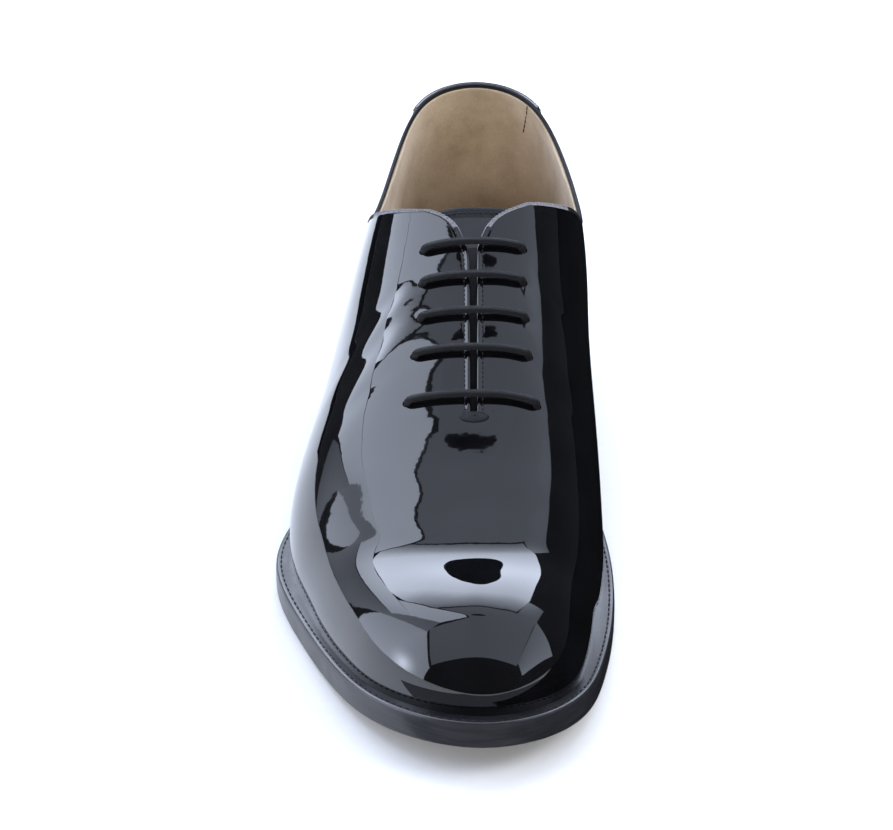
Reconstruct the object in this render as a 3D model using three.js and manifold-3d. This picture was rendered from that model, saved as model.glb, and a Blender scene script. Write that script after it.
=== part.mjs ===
// Plain whole-cut oxford shoe, right foot, with five straight bars of lace.
// Millimetres. Z is up, the toe points to -Y, and the inner side of the foot is towards +X.
import * as THREE from "three";
import { mergeVertices } from "three/addons/utils/BufferGeometryUtils.js";
import Module from "manifold-3d";

// Driving sizes of the foot form
const FORM_LENGTH = 290;
const BALL_WIDTH = 100.7;
const INSTEP_RISE = 85;
const HEEL_LIFT = 22;
const TOE_SPRING = 8.5;

// Driving sizes of the pieces
const WALL = 2;
const OUTSOLE_THICKNESS = 5.5;
const WELT_THICKNESS = 3.4;
const WELT_REACH = 4;
const WELT_WIDTH = 11;
const INSOLE_THICKNESS = 3;
const TOP_LIFT_THICKNESS = 6;
const COUNTER_THICKNESS = 1.2;
const TONGUE_THICKNESS = 2;
const LACE_DIAMETER = 2.4;

// Clearances
const SEAT = 0.3;
const LACE_CLEARANCE = 0.5;
const EYELET_EASE = 0.25;

// Shares of the form's length along the sole
const HEEL_END = 0.22;
const SEAT_FALL = 0.02;
const FLAT_START = 0.58;
const FLAT_END = 0.72;

// How far the throat lies towards the outer side, as a share of BALL_WIDTH
const THROAT_SHIFT = 0.011;

// Shapes of the section curve and of its tuck at the feather line
const CROWN = 2.2;
const TUCK_FADE = 0.13;

// Sections from the heel to the toe. along and foot are shares of FORM_LENGTH: where the section
// meets the feather line and where it meets the ridge. outer and inner are the half widths and
// tuckOuter and tuckInner their tuck, as shares of BALL_WIDTH. squareOuter and squareInner are the
// powers of the section curve. reachOuter and reachInner are shares of WELT_REACH.
const SECTIONS = [
  { along: 0.005, foot: 0.125, outer: 0, inner: 0, tuckOuter: 0.03, tuckInner: 0.03,
    squareOuter: 1.9, squareInner: 1.9, reachOuter: 0.8, reachInner: 0.8 },
  { along: 0.038, foot: 0.13, outer: 0.212, inner: 0.218, tuckOuter: 0.03, tuckInner: 0.03,
    squareOuter: 1.9, squareInner: 1.9, reachOuter: 0.8, reachInner: 0.8 },
  { along: 0.131, foot: 0.16, outer: 0.306, inner: 0.33, tuckOuter: 0.03, tuckInner: 0.035,
    squareOuter: 2, squareInner: 2.1, reachOuter: 0.7, reachInner: 0.6 },
  { along: 0.272, foot: 0.272, outer: 0.37, inner: 0.378, tuckOuter: 0.045, tuckInner: 0.07,
    squareOuter: 2.5, squareInner: 2.8, reachOuter: 0.5, reachInner: 0.38 },
  { along: 0.397, foot: 0.397, outer: 0.457, inner: 0.385, tuckOuter: 0.055, tuckInner: 0.084,
    squareOuter: 2.5, squareInner: 3.1, reachOuter: 0.7, reachInner: 0.38 },
  { along: 0.517, foot: 0.517, outer: 0.532, inner: 0.401, tuckOuter: 0.035, tuckInner: 0.05,
    squareOuter: 2.4, squareInner: 3, reachOuter: 1.05, reachInner: 0.62 },
  { along: 0.636, foot: 0.634, outer: 0.593, inner: 0.407, tuckOuter: 0.015, tuckInner: 0.018,
    squareOuter: 2.4, squareInner: 2.8, reachOuter: 1.2, reachInner: 0.88 },
  { along: 0.75, foot: 0.733, outer: 0.531, inner: 0.399, tuckOuter: 0.01, tuckInner: 0.01,
    squareOuter: 2.5, squareInner: 2.6, reachOuter: 0.82, reachInner: 0.9 },
  { along: 0.852, foot: 0.815, outer: 0.417, inner: 0.357, tuckOuter: 0.008, tuckInner: 0.008,
    squareOuter: 2.4, squareInner: 2.4, reachOuter: 0.8, reachInner: 0.95 },
  { along: 0.94, foot: 0.85, outer: 0.253, inner: 0.263, tuckOuter: 0.006, tuckInner: 0.006,
    squareOuter: 2.3, squareInner: 2.3, reachOuter: 1.05, reachInner: 1.05 },
  { along: 0.988, foot: 0.86, outer: -0.02, inner: 0.02, tuckOuter: 0.006, tuckInner: 0.006,
    squareOuter: 2.2, squareInner: 2.2, reachOuter: 1.35, reachInner: 1.35 },
];

// Ridge of the form. along is a share of FORM_LENGTH, rise a share of INSTEP_RISE.
const RIDGE = [
  { along: 0, rise: 1.05 },
  { along: 0.12, rise: 1.07 },
  { along: 0.3, rise: 1.066 },
  { along: 0.414, rise: 1 },
  { along: 0.53, rise: 0.893 },
  { along: 0.662, rise: 0.666 },
  { along: 0.75, rise: 0.528 },
  { along: 0.84, rise: 0.4265 },
  { along: 0.92, rise: 0.359 },
  { along: 1, rise: 0.2835 },
];

// Top edge of the upper, seen from the side. Shares as for the ridge.
const TOPLINE = [
  { along: -0.06, rise: 0.7 },
  { along: 0.02, rise: 0.675 },
  { along: 0.05, rise: 0.65 },
  { along: 0.1, rise: 0.59 },
  { along: 0.172, rise: 0.527 },
  { along: 0.235, rise: 0.515 },
  { along: 0.275, rise: 0.538 },
  { along: 0.31, rise: 0.605 },
  { along: 0.34, rise: 0.7 },
  { along: 0.365, rise: 0.785 },
  { along: 0.39, rise: 0.872 },
  { along: 0.408, rise: 0.932 },
  { along: 0.42, rise: 0.968 },
  { along: 0.43, rise: 1 },
];

// Throat between the facings, from its flared top to its end. half is a share of BALL_WIDTH.
const THROAT = [
  { along: 0.39, half: 0.2 },
  { along: 0.413, half: 0.168 },
  { along: 0.4228, half: 0.126 },
  { along: 0.431, half: 0.084 },
  { along: 0.44, half: 0.0535 },
  { along: 0.45, half: 0.036 },
  { along: 0.458, half: 0.026 },
  { along: 0.468, half: 0.017 },
  { along: 0.482, half: 0.0105 },
  { along: 0.664, half: 0.0095 },
];

// Eyelet rows from the top one down. outer and inner are shares of BALL_WIDTH.
const LACE_ROWS = [
  { along: 0.467, outer: 0.165, inner: 0.15 },
  { along: 0.506, outer: 0.168, inner: 0.15 },
  { along: 0.549, outer: 0.174, inner: 0.156 },
  { along: 0.592, outer: 0.19, inner: 0.166 },
  { along: 0.644, outer: 0.212, inner: 0.19 },
];

// Tongue from its top edge to its sewn end. half is a share of BALL_WIDTH, deep the share of the
// room for the lace that lies over it.
const TONGUE = [
  { along: 0.4135, half: 0.135, deep: 1 },
  { along: 0.416, half: 0.17, deep: 1 },
  { along: 0.421, half: 0.192, deep: 1 },
  { along: 0.432, half: 0.207, deep: 1 },
  { along: 0.45, half: 0.215, deep: 1 },
  { along: 0.48, half: 0.22, deep: 1 },
  { along: 0.52, half: 0.225, deep: 1 },
  { along: 0.56, half: 0.23, deep: 1 },
  { along: 0.6, half: 0.235, deep: 1 },
  { along: 0.64, half: 0.232, deep: 1 },
  { along: 0.67, half: 0.228, deep: 1 },
  { along: 0.69, half: 0.222, deep: 0.55 },
  { along: 0.708, half: 0.21, deep: 0.1 },
  { along: 0.722, half: 0.195, deep: 0 },
  { along: 0.742, half: 0.17, deep: 0 },
];

// The lace's way: a bar over each row, from one side, and then a run under the facing to another
// row. It passes the eyelet of a row that it skips on the throat's side (1) or the far side (-1).
const OUTER = -1;
const INNER = 1;
const LACE_WAY = [
  { row: 2, from: OUTER, to: 4, skips: 3, aside: -1 },
  { row: 4, from: INNER, to: 5 },
  { row: 5, from: OUTER, to: 3, skips: 4, aside: 1 },
  { row: 3, from: INNER, to: 1, skips: 2, aside: 1 },
  { row: 1, from: OUTER },
];

// How the lace bends at an eyelet, over and under the facing. gone is its distance from the hole as
// a share of its turning radius, and lift is a share of its full height over or depth under the skin.
const BEND_OVER = [
  { gone: 0.35, lift: 0.55 },
  { gone: 1, lift: 0.98 },
];
const BEND_UNDER = [
  { gone: 0.5, lift: 0.86 },
  { gone: 1.3, lift: 1 },
];
// Arch of a bar over the throat. across is a share of the bar, extra a share of LACE_CLEARANCE.
const BAR_ARCH = [
  { across: 0.25, extra: 0.6 },
  { across: 0.5, extra: 0.9 },
  { across: 0.75, extra: 0.6 },
];
// Distance at which the lace passes a skipped eyelet, in lace diameters
const PASSING = 1.45;

// Reach of the counter round the heel at its foot and its top edge, in sections from the back
const COUNTER_FOOT = 1.7;
const COUNTER_TOP = 1.25;

// Bevels as shares of the thickness that they soften, and the heel's taper as a share of its height
const SOLE_BEVEL = 1 / 6;
const WELT_BEVEL = 1 / 8;
const HEEL_TAPER = 1 / 12;

// Numbers of facets
const STEPS_PER_SECTION = 4;
const RISE_STEPS = 14;
const TOPLINE_STEPS = 50;
const HEEL_STEPS = 11;
const COUNTER_STEPS = 14;
const COUNTER_RISES = 8;
const TONGUE_STEPS = 10;
const LACE_SIDES = 8;
const LACE_STEPS = 2;
const EYELET_SIDES = 10;

// Steps after which a curve has settled and a place along it is found
const SMOOTHING_STEPS = 80;
const SEARCH_STEPS = 40;
const MERGE = 1e-3;

// Smooth curve through rows, with straight ends
function curve(xs, ys) {
  const last = xs.length - 1;
  const bend = ys.map(() => 0);
  for (let round = 0; round < SMOOTHING_STEPS; round += 1) {
    for (let i = 1; i < last; i += 1) {
      const before = xs[i] - xs[i - 1];
      const after = xs[i + 1] - xs[i];
      const turn = (ys[i + 1] - ys[i]) / after - (ys[i] - ys[i - 1]) / before;
      bend[i] = (6 * turn - before * bend[i - 1] - after * bend[i + 1]) / (2 * (before + after));
    }
  }
  return (x) => {
    let i = 0;
    while (i < last - 1 && x > xs[i + 1]) i += 1;
    const h = xs[i + 1] - xs[i];
    const held = Math.min(Math.max(x, xs[0]), xs[last]);
    const t = (held - xs[i]) / h;
    const s = 1 - t;
    const wave = ((s ** 3 - s) * bend[i] + (t ** 3 - t) * bend[i + 1]) * h * h / 6;
    const end = x > held ? (2 * bend[i + 1] + bend[i]) / 6 : -(2 * bend[i] + bend[i + 1]) / 6;
    const slope = (ys[i + 1] - ys[i]) / h + end * h;
    return s * ys[i] + t * ys[i + 1] + wave + (x - held) * slope;
  };
}

// Smooth closed curve through values one step apart
function loop(values) {
  const n = values.length;
  const bend = values.map(() => 0);
  for (let round = 0; round < SMOOTHING_STEPS; round += 1) {
    for (let i = 0; i < n; i += 1) {
      const before = (i + n - 1) % n;
      const after = (i + 1) % n;
      const turn = values[after] - 2 * values[i] + values[before];
      bend[i] = (6 * turn - bend[before] - bend[after]) / 4;
    }
  }
  return (u) => {
    const i = ((Math.floor(u) % n) + n) % n;
    const j = (i + 1) % n;
    const t = u - Math.floor(u);
    const s = 1 - t;
    return s * values[i] + t * values[j] + ((s ** 3 - s) * bend[i] + (t ** 3 - t) * bend[j]) / 6;
  };
}

// A column of the sections, down the outer side and back up the inner side
function around(outerValue, innerValue) {
  const back = SECTIONS.slice(1, -1).reverse();
  return loop([...SECTIONS.map(outerValue), ...back.map(innerValue)]);
}
const HALF_TURN = SECTIONS.length - 1;
const FULL_TURN = 2 * HALF_TURN;
const sideAt = around((r) => -r.outer * BALL_WIDTH, (r) => r.inner * BALL_WIDTH);
const alongAt = around((r) => r.along * FORM_LENGTH, (r) => r.along * FORM_LENGTH);
const footAt = around((r) => r.foot * FORM_LENGTH, (r) => r.foot * FORM_LENGTH);
const tuckAt = around((r) => r.tuckOuter * BALL_WIDTH, (r) => r.tuckInner * BALL_WIDTH);
const powerAt = around((r) => r.squareOuter, (r) => r.squareInner);
const reachAt = around((r) => r.reachOuter * WELT_REACH, (r) => r.reachInner * WELT_REACH);

const ridge = curve(RIDGE.map((r) => r.along * FORM_LENGTH), RIDGE.map((r) => r.rise * INSTEP_RISE));
const topline = curve(
  TOPLINE.map((r) => r.along * FORM_LENGTH),
  TOPLINE.map((r) => r.rise * INSTEP_RISE),
);

// Underside of the sole: heel seat, arch, flat tread and toe spring
function soleUnder(d) {
  const s = d / FORM_LENGTH;
  const spring = Math.max((s - FLAT_END) / (1 - FLAT_END), 0);
  const climb = Math.min(Math.max((FLAT_START - s) / (FLAT_START - HEEL_END), 0), 1);
  const arch = HEEL_LIFT * climb ** 3 * (climb * (6 * climb - 15) + 10);
  const seat = SEAT_FALL * Math.max(HEEL_END - s, 0) * FORM_LENGTH;
  return TOE_SPRING * spring ** 2 + arch + seat;
}
const WELT_UNDER = OUTSOLE_THICKNESS + SEAT;
const WELT_TOP = WELT_UNDER + WELT_THICKNESS;
const FEATHER = WELT_TOP + SEAT;

function feather(d) {
  return soleUnder(d) + FEATHER;
}

// A point of the form, u around the feather line, angle from it up to the ridge, inset inwards
function formPoint(u, angle, inset) {
  const side = sideAt(u);
  const foot = footAt(u);
  const run = alongAt(u) - foot;
  const out = Math.cos(angle) ** (2 / powerAt(u));
  const up = Math.sin(angle) ** (2 / CROWN);
  const d0 = foot + run * out;
  const height = (ridge(d0) - inset) * up;
  const tuck = tuckAt(u) * Math.exp(-height / (TUCK_FADE * INSTEP_RISE));
  const scale = out * (1 - (tuck + inset) / Math.hypot(side, run));
  return new THREE.Vector3(side * scale, -(foot + run * scale), feather(d0) + height);
}

// The angle at which the form is a height above the feather line
function angleAt(u, height, inset) {
  const foot = footAt(u);
  const run = alongAt(u) - foot;
  let low = 0;
  let high = Math.PI / 2;
  for (let i = 0; i < SEARCH_STEPS; i += 1) {
    const mid = (low + high) / 2;
    const d = foot + run * Math.cos(mid) ** (2 / powerAt(u));
    const wanted = typeof height === "function" ? height(d) : height;
    if ((ridge(d) - inset) * Math.sin(mid) ** (2 / CROWN) < wanted) low = mid;
    else high = mid;
  }
  return low;
}

// A point of the sole's outline, a reach outside the feather line
function solePoint(u, reach, up) {
  const side = sideAt(u);
  const foot = footAt(u);
  const run = alongAt(u) - foot;
  const scale = 1 + (reach - tuckAt(u)) / Math.hypot(side, run);
  const d = foot + run * scale;
  return new THREE.Vector3(side * scale, -d, soleUnder(d) + up);
}

// The section that meets the feather line at a distance along
function sectionAt(d, towards) {
  let low = 0;
  let high = HALF_TURN;
  for (let i = 0; i < SEARCH_STEPS; i += 1) {
    const mid = (low + high) / 2;
    if (alongAt(mid) < d) low = mid;
    else high = mid;
  }
  return towards < 0 ? low : FULL_TURN - low;
}

// Height of the form over a place on the instep
function instepHeight(x, d) {
  const u = sectionAt(d, x);
  const out = Math.min(Math.abs(x / sideAt(u)), 1);
  return feather(d) + ridge(d) * (1 - out ** powerAt(u)) ** (1 / CROWN);
}

// A point a lift above the instep, square to its surface
function overInstep(x, d, lift) {
  const near = WALL / 4;
  const slopeX = (instepHeight(x + near, d) - instepHeight(x - near, d)) / (2 * near);
  const slopeD = (instepHeight(x, d + near) - instepHeight(x, d - near)) / (2 * near);
  const square = new THREE.Vector3(-slopeX, slopeD, 1).normalize();
  return new THREE.Vector3(x, -d, instepHeight(x, d)).addScaledVector(square, lift);
}

// Solids
const wasm = await Module();
wasm.setup();

function solidOf(geometry) {
  geometry.deleteAttribute("normal");
  geometry.deleteAttribute("uv");
  const merged = mergeVertices(geometry, MERGE);
  const index = Array.from(merged.index.array);
  const kept = [];
  for (let i = 0; i < index.length; i += 3) {
    const [a, b, c] = index.slice(i, i + 3);
    if (a !== b && b !== c && c !== a) kept.push(a, b, c);
  }
  return new wasm.Manifold(
    new wasm.Mesh({
      numProp: 3,
      vertProperties: new Float32Array(merged.attributes.position.array),
      triVerts: new Uint32Array(kept),
    }),
  );
}

function geometryOf(points, faces) {
  const flat = points.flatMap((p) => [p.x, p.y, p.z]);
  return new THREE.BufferGeometry()
    .setAttribute("position", new THREE.Float32BufferAttribute(flat, 3))
    .setIndex(faces);
}

// Faces between rings of as many points, each ring closed
function bandFaces(rings, closed) {
  const n = rings[0].length;
  const faces = [];
  const last = closed ? rings.length : rings.length - 1;
  for (let r = 0; r < last; r += 1) {
    const low = r * n;
    const high = ((r + 1) % rings.length) * n;
    for (let i = 0; i < n; i += 1) {
      const j = (i + 1) % n;
      faces.push(low + i, low + j, high + j, low + i, high + j, high + i);
    }
  }
  return faces;
}

// Faces that close a ring with rungs from its outer to its inner side
function capFaces(start, n, up) {
  const faces = [];
  const put = (a, b, c) => faces.push(start + a, start + (up ? b : c), start + (up ? c : b));
  put(0, 1, n - 1);
  for (let k = 1; k < n - k - 1; k += 1) {
    if (k + 1 < n - k - 1) put(k, k + 1, n - k - 1);
    put(k, n - k - 1, n - k);
  }
  return faces;
}

function stackOf(rings, capped) {
  const n = rings[0].length;
  const faces = bandFaces(rings, false);
  faces.push(...capFaces(0, n, false));
  if (capped) faces.push(...capFaces((rings.length - 1) * n, n, true));
  return solidOf(geometryOf(rings.flat(), faces));
}

const STATIONS = Array.from(
  { length: FULL_TURN * STEPS_PER_SECTION },
  (_, i) => i / STEPS_PER_SECTION,
);

function ringOf(place) {
  return STATIONS.map(place);
}

// Form as a closed solid, drop below the feather line
function formSolid(inset, drop) {
  const rings = [];
  if (drop > 0) {
    const down = new THREE.Vector3(0, 0, -drop);
    rings.push(ringOf((u) => formPoint(u, 0, inset).add(down)));
  }
  for (let i = 0; i <= RISE_STEPS; i += 1) {
    const angle = (Math.PI / 2) * (i / RISE_STEPS);
    rings.push(ringOf((u) => formPoint(u, angle, inset)));
    if (i === 0) {
      rings.push(ringOf((u) => formPoint(u, angleAt(u, INSOLE_THICKNESS, inset), inset)));
    }
  }
  return stackOf(rings, false);
}

// Upper
const CUTTER_TOP = 2 * (INSTEP_RISE + HEEL_LIFT);
const toplineShape = new THREE.Shape();
const toplineEnd = TOPLINE[TOPLINE.length - 1].along * FORM_LENGTH;
const toplineStart = TOPLINE[0].along * FORM_LENGTH;
toplineShape.moveTo(toplineStart, CUTTER_TOP);
for (let i = 0; i <= TOPLINE_STEPS; i += 1) {
  const d = toplineStart + ((toplineEnd - toplineStart) * i) / TOPLINE_STEPS;
  toplineShape.lineTo(d, feather(d) + topline(d));
}
toplineShape.lineTo(toplineEnd, CUTTER_TOP);
const toplineCutter = new THREE.ExtrudeGeometry(toplineShape, {
  depth: 2 * BALL_WIDTH,
  bevelEnabled: false,
});
toplineCutter.applyMatrix4(
  new THREE.Matrix4().set(0, 0, -1, BALL_WIDTH, -1, 0, 0, 0, 0, 1, 0, 0, 0, 0, 0, 1),
);

const throatShape = new THREE.Shape();
const throatRows = THROAT.map((r) => [r.half * BALL_WIDTH, -r.along * FORM_LENGTH]);
throatRows.forEach(([x, y], i) => (i ? throatShape.lineTo(-x, y) : throatShape.moveTo(-x, y)));
throatRows.reverse().forEach(([x, y]) => throatShape.lineTo(x, y));
const throatCutter = new THREE.ExtrudeGeometry(throatShape, { depth: CUTTER_TOP, bevelEnabled: false });
throatCutter.translate(-THROAT_SHIFT * BALL_WIDTH, 0, FEATHER + HEEL_LIFT);

const EYELET_RADIUS = LACE_DIAMETER / 2 + LACE_CLEARANCE + EYELET_EASE;
function eyeletCutter(x, d) {
  const low = overInstep(x, d, -3 * WALL);
  const high = overInstep(x, d, 2 * WALL);
  const drill = new THREE.CylinderGeometry(
    EYELET_RADIUS,
    EYELET_RADIUS,
    high.distanceTo(low),
    EYELET_SIDES,
  );
  const turn = new THREE.Quaternion().setFromUnitVectors(
    new THREE.Vector3(0, 1, 0),
    high.clone().sub(low).normalize(),
  );
  drill.applyQuaternion(turn);
  const middle = high.clone().add(low).multiplyScalar(0.5);
  return solidOf(drill.translate(middle.x, middle.y, middle.z));
}
const eyelets = LACE_ROWS.flatMap((r) => [
  { x: -r.outer * BALL_WIDTH, d: r.along * FORM_LENGTH },
  { x: r.inner * BALL_WIDTH, d: r.along * FORM_LENGTH },
]);
let upper = formSolid(0, 0)
  .subtract(formSolid(WALL, 2 * WALL))
  .subtract(solidOf(toplineCutter))
  .subtract(solidOf(throatCutter));
for (const e of eyelets) upper = upper.subtract(eyeletCutter(e.x, e.d));

// Insole
function insoleRing(height) {
  const inset = WALL + SEAT;
  return ringOf((u) => formPoint(u, angleAt(u, height, inset), inset));
}
const insole = stackOf([insoleRing(0), insoleRing(INSOLE_THICKNESS)], true);

// Outsole with its raised middle inside the welt
const EDGE_BEVEL = OUTSOLE_THICKNESS * SOLE_BEVEL;
const soleRing = (change, up) => ringOf((u) => solePoint(u, reachAt(u) + change, up));
const innerRing = (change, up) =>
  ringOf((u) => solePoint(u, reachAt(u) - WELT_WIDTH + change, up));
const outsole = stackOf(
  [
    soleRing(-EDGE_BEVEL, 0),
    soleRing(0, EDGE_BEVEL),
    soleRing(0, OUTSOLE_THICKNESS - EDGE_BEVEL / 2),
    soleRing(-EDGE_BEVEL / 2, OUTSOLE_THICKNESS),
    innerRing(-SEAT, OUTSOLE_THICKNESS),
    innerRing(-SEAT, WELT_TOP),
  ],
  true,
);

// Welt
const WELT_EDGE = WELT_THICKNESS * WELT_BEVEL;
const weltRings = [
  soleRing(-WELT_EDGE, WELT_UNDER),
  soleRing(0, WELT_UNDER + WELT_EDGE),
  soleRing(0, WELT_TOP - WELT_EDGE),
  soleRing(-WELT_EDGE, WELT_TOP),
  innerRing(0, WELT_TOP),
  innerRing(0, WELT_UNDER),
];
const welt = solidOf(geometryOf(weltRings.flat(), bandFaces(weltRings, true)));

// Heel
const heelFront = sectionAt(HEEL_END * FORM_LENGTH, -1);
function heelRing(change, height) {
  const outer = [];
  const inner = [];
  for (let i = 0; i <= HEEL_STEPS; i += 1) {
    const u = (heelFront * i) / HEEL_STEPS;
    outer.push(solePoint(u, reachAt(u) + change, 0));
    if (i) inner.unshift(solePoint(FULL_TURN - u, reachAt(u) + change, 0));
  }
  return [...outer, ...inner].map((p) => new THREE.Vector3(p.x, p.y, height(-p.y)));
}
const heelInset = (z) => -HEEL_TAPER * (HEEL_LIFT - z) - EDGE_BEVEL / 2;
const topLift = stackOf(
  [
    heelRing(heelInset(0) - EDGE_BEVEL, () => 0),
    heelRing(heelInset(0), () => EDGE_BEVEL),
    heelRing(heelInset(TOP_LIFT_THICKNESS), () => TOP_LIFT_THICKNESS),
  ],
  true,
);
const heelStack = stackOf(
  [
    heelRing(heelInset(TOP_LIFT_THICKNESS), () => TOP_LIFT_THICKNESS + SEAT),
    heelRing(heelInset(HEEL_LIFT), (d) => soleUnder(d) - SEAT),
  ],
  true,
);

// Counter, an outer piece round the heel
function counterPoint(i, j, inset) {
  const share = (2 * i) / COUNTER_STEPS - 1;
  const rise = j / COUNTER_RISES;
  const u = share * (COUNTER_FOOT + (COUNTER_TOP - COUNTER_FOOT) * rise);
  const top = angleAt((u + FULL_TURN) % FULL_TURN, topline, 0);
  return formPoint((u + FULL_TURN) % FULL_TURN, top * rise, inset);
}
function counterRing(i) {
  const ring = [];
  for (let j = 0; j <= COUNTER_RISES; j += 1) ring.push(counterPoint(i, j, -SEAT));
  for (let j = COUNTER_RISES; j >= 0; j -= 1) ring.push(counterPoint(i, j, -SEAT - COUNTER_THICKNESS));
  return ring;
}
const counterRings = Array.from({ length: COUNTER_STEPS + 1 }, (_, i) => counterRing(i));

// A plate given as rings that each run out along one face and back along the other
function plateOf(rings) {
  const n = rings[0].length;
  const faces = bandFaces(rings, false);
  const close = (start, up) => {
    for (let k = 0; k + 1 < n - k - 1; k += 1) {
      const far = n - 1 - k;
      const quad = [start + k, start + k + 1, start + far - 1, start + far];
      const [a, b, c, e] = up ? quad : [...quad].reverse();
      faces.push(a, b, c);
      if (k + 1 !== far - 1) faces.push(a, c, e);
    }
  };
  close(0, false);
  close((rings.length - 1) * n, true);
  const made = solidOf(geometryOf(rings.flat(), faces));
  if (made.volume() > 0) return made;
  for (let i = 0; i < faces.length; i += 3) [faces[i + 1], faces[i + 2]] = [faces[i + 2], faces[i + 1]];
  return solidOf(geometryOf(rings.flat(), faces));
}
const counter = plateOf(counterRings);

// Tongue
const UNDER_LACE = WALL + LACE_CLEARANCE + LACE_DIAMETER / 2;
const LACE_ROOM = UNDER_LACE + LACE_DIAMETER / 2 + LACE_CLEARANCE;
const TONGUE_SEWN = WALL + SEAT;
const tongueRings = TONGUE.map((row) => {
  const lift = -(TONGUE_SEWN + (LACE_ROOM - TONGUE_SEWN) * row.deep);
  const across = (i) => (((2 * i) / TONGUE_STEPS - 1) * row.half - THROAT_SHIFT) * BALL_WIDTH;
  const ring = [];
  for (let i = 0; i <= TONGUE_STEPS; i += 1) {
    ring.push(overInstep(across(i), row.along * FORM_LENGTH, lift));
  }
  for (let i = TONGUE_STEPS; i >= 0; i -= 1) {
    ring.push(overInstep(across(i), row.along * FORM_LENGTH, lift - TONGUE_THICKNESS));
  }
  return ring;
});
const tongue = plateOf(tongueRings);

// Lace: straight bars over the throat, joined by runs under the facings
const OVER_LACE = LACE_CLEARANCE + LACE_DIAMETER / 2;
const TURNING = UNDER_LACE / 2;
const lacePoints = [];
const laceTo = (place, dx, dd, lift) => {
  lacePoints.push(overInstep(place.x + dx, place.d + dd, lift));
};
function eyeletPlace(row, side) {
  const r = LACE_ROWS[row - 1];
  return { x: (side === OUTER ? -r.outer : r.inner) * BALL_WIDTH, d: r.along * FORM_LENGTH };
}
function bar(row, side) {
  const start = eyeletPlace(row, side);
  const end = eyeletPlace(row, -side);
  const bends = BEND_OVER.map((b) => [b.gone * TURNING, b.lift * OVER_LACE]);
  laceTo(start, 0, 0, -WALL / 2);
  bends.forEach(([gone, lift]) => laceTo(start, -side * gone, 0, lift));
  BAR_ARCH.forEach((a) =>
    laceTo(start, (end.x - start.x) * a.across, 0, OVER_LACE + a.extra * LACE_CLEARANCE),
  );
  bends.reverse().forEach(([gone, lift]) => laceTo(end, side * gone, 0, lift));
  laceTo(end, 0, 0, -WALL / 2);
}
function runUnder(from, to, side, skips, aside) {
  const start = eyeletPlace(from, side);
  const end = eyeletPlace(to, side);
  const way = Math.sign(end.d - start.d);
  const bends = BEND_UNDER.map((b) => [way * b.gone * TURNING, -b.lift * UNDER_LACE]);
  bends.forEach(([gone, lift]) => laceTo(start, 0, gone, lift));
  if (skips) {
    laceTo(eyeletPlace(skips, side), -side * aside * PASSING * LACE_DIAMETER, 0, -UNDER_LACE);
  }
  bends.reverse().forEach(([gone, lift]) => laceTo(end, 0, -gone, lift));
}
const [nearBend, farBend] = BEND_UNDER;
laceTo(eyeletPlace(1, OUTER), 0, LACE_DIAMETER + LACE_CLEARANCE, -UNDER_LACE);
laceTo(eyeletPlace(2, OUTER), 0, -farBend.gone * TURNING, -UNDER_LACE);
laceTo(eyeletPlace(2, OUTER), 0, -nearBend.gone * TURNING, -nearBend.lift * UNDER_LACE);
for (const step of LACE_WAY) {
  bar(step.row, step.from);
  if (step.to) runUnder(step.row, step.to, -step.from, step.skips, step.aside);
}
laceTo(eyeletPlace(1, INNER), 0, nearBend.gone * TURNING, -nearBend.lift * UNDER_LACE);
laceTo(eyeletPlace(1, INNER), 0, LACE_DIAMETER + farBend.gone * TURNING, -UNDER_LACE);
const laceShape = new THREE.Shape();
for (let i = 0; i < LACE_SIDES; i += 1) {
  const turn = (2 * Math.PI * (i + 0.5)) / LACE_SIDES;
  const x = (LACE_DIAMETER / 2) * Math.cos(turn);
  const y = (LACE_DIAMETER / 2) * Math.sin(turn);
  if (i) laceShape.lineTo(x, y);
  else laceShape.moveTo(x, y);
}
const lace = solidOf(
  new THREE.ExtrudeGeometry(laceShape, {
    steps: LACE_STEPS * lacePoints.length,
    bevelEnabled: false,
    extrudePath: new THREE.CatmullRomCurve3(lacePoints, false, "centripetal"),
  }),
);

// Pieces
const PIECES = [
  { name: "upper", solid: upper, color: 0x101014, rough: 0.12 },
  { name: "heel_counter", solid: counter, color: 0x16161a, rough: 0.12 },
  { name: "tongue", solid: tongue, color: 0x26262a, rough: 0.2 },
  { name: "insole", solid: insole, color: 0x9c8468, rough: 0.8 },
  { name: "welt", solid: welt, color: 0x2a2a2e, rough: 0.4 },
  { name: "outsole", solid: outsole, color: 0x35302c, rough: 0.6 },
  { name: "heel_stack", solid: heelStack, color: 0x2c2826, rough: 0.5 },
  { name: "heel_top_lift", solid: topLift, color: 0x1c1c1c, rough: 0.8 },
  { name: "lace", solid: lace, color: 0x050505, rough: 0.5 },
];
const shoe = new THREE.Group();
shoe.name = "oxford_shoe";
const whole = new THREE.Box3();
for (const piece of PIECES) {
  const mesh = piece.solid.getMesh();
  const geometry = new THREE.BufferGeometry()
    .setAttribute("position", new THREE.BufferAttribute(new Float32Array(mesh.vertProperties), 3))
    .setIndex(new THREE.BufferAttribute(new Uint32Array(mesh.triVerts), 1));
  geometry.computeVertexNormals();
  geometry.computeBoundingBox();
  whole.union(geometry.boundingBox);
  const material = new THREE.MeshStandardMaterial({ color: piece.color, roughness: piece.rough });
  const object = new THREE.Mesh(geometry, material);
  object.name = piece.name;
  shoe.add(object);
}
const middle = whole.getCenter(new THREE.Vector3());
for (const object of shoe.children) object.geometry.translate(-middle.x, -middle.y, -whole.min.z);

export default shoe;
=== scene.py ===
"""Plain whole-cut oxford shoe in black patent leather, dressed and lit for a studio picture."""

import math

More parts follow.
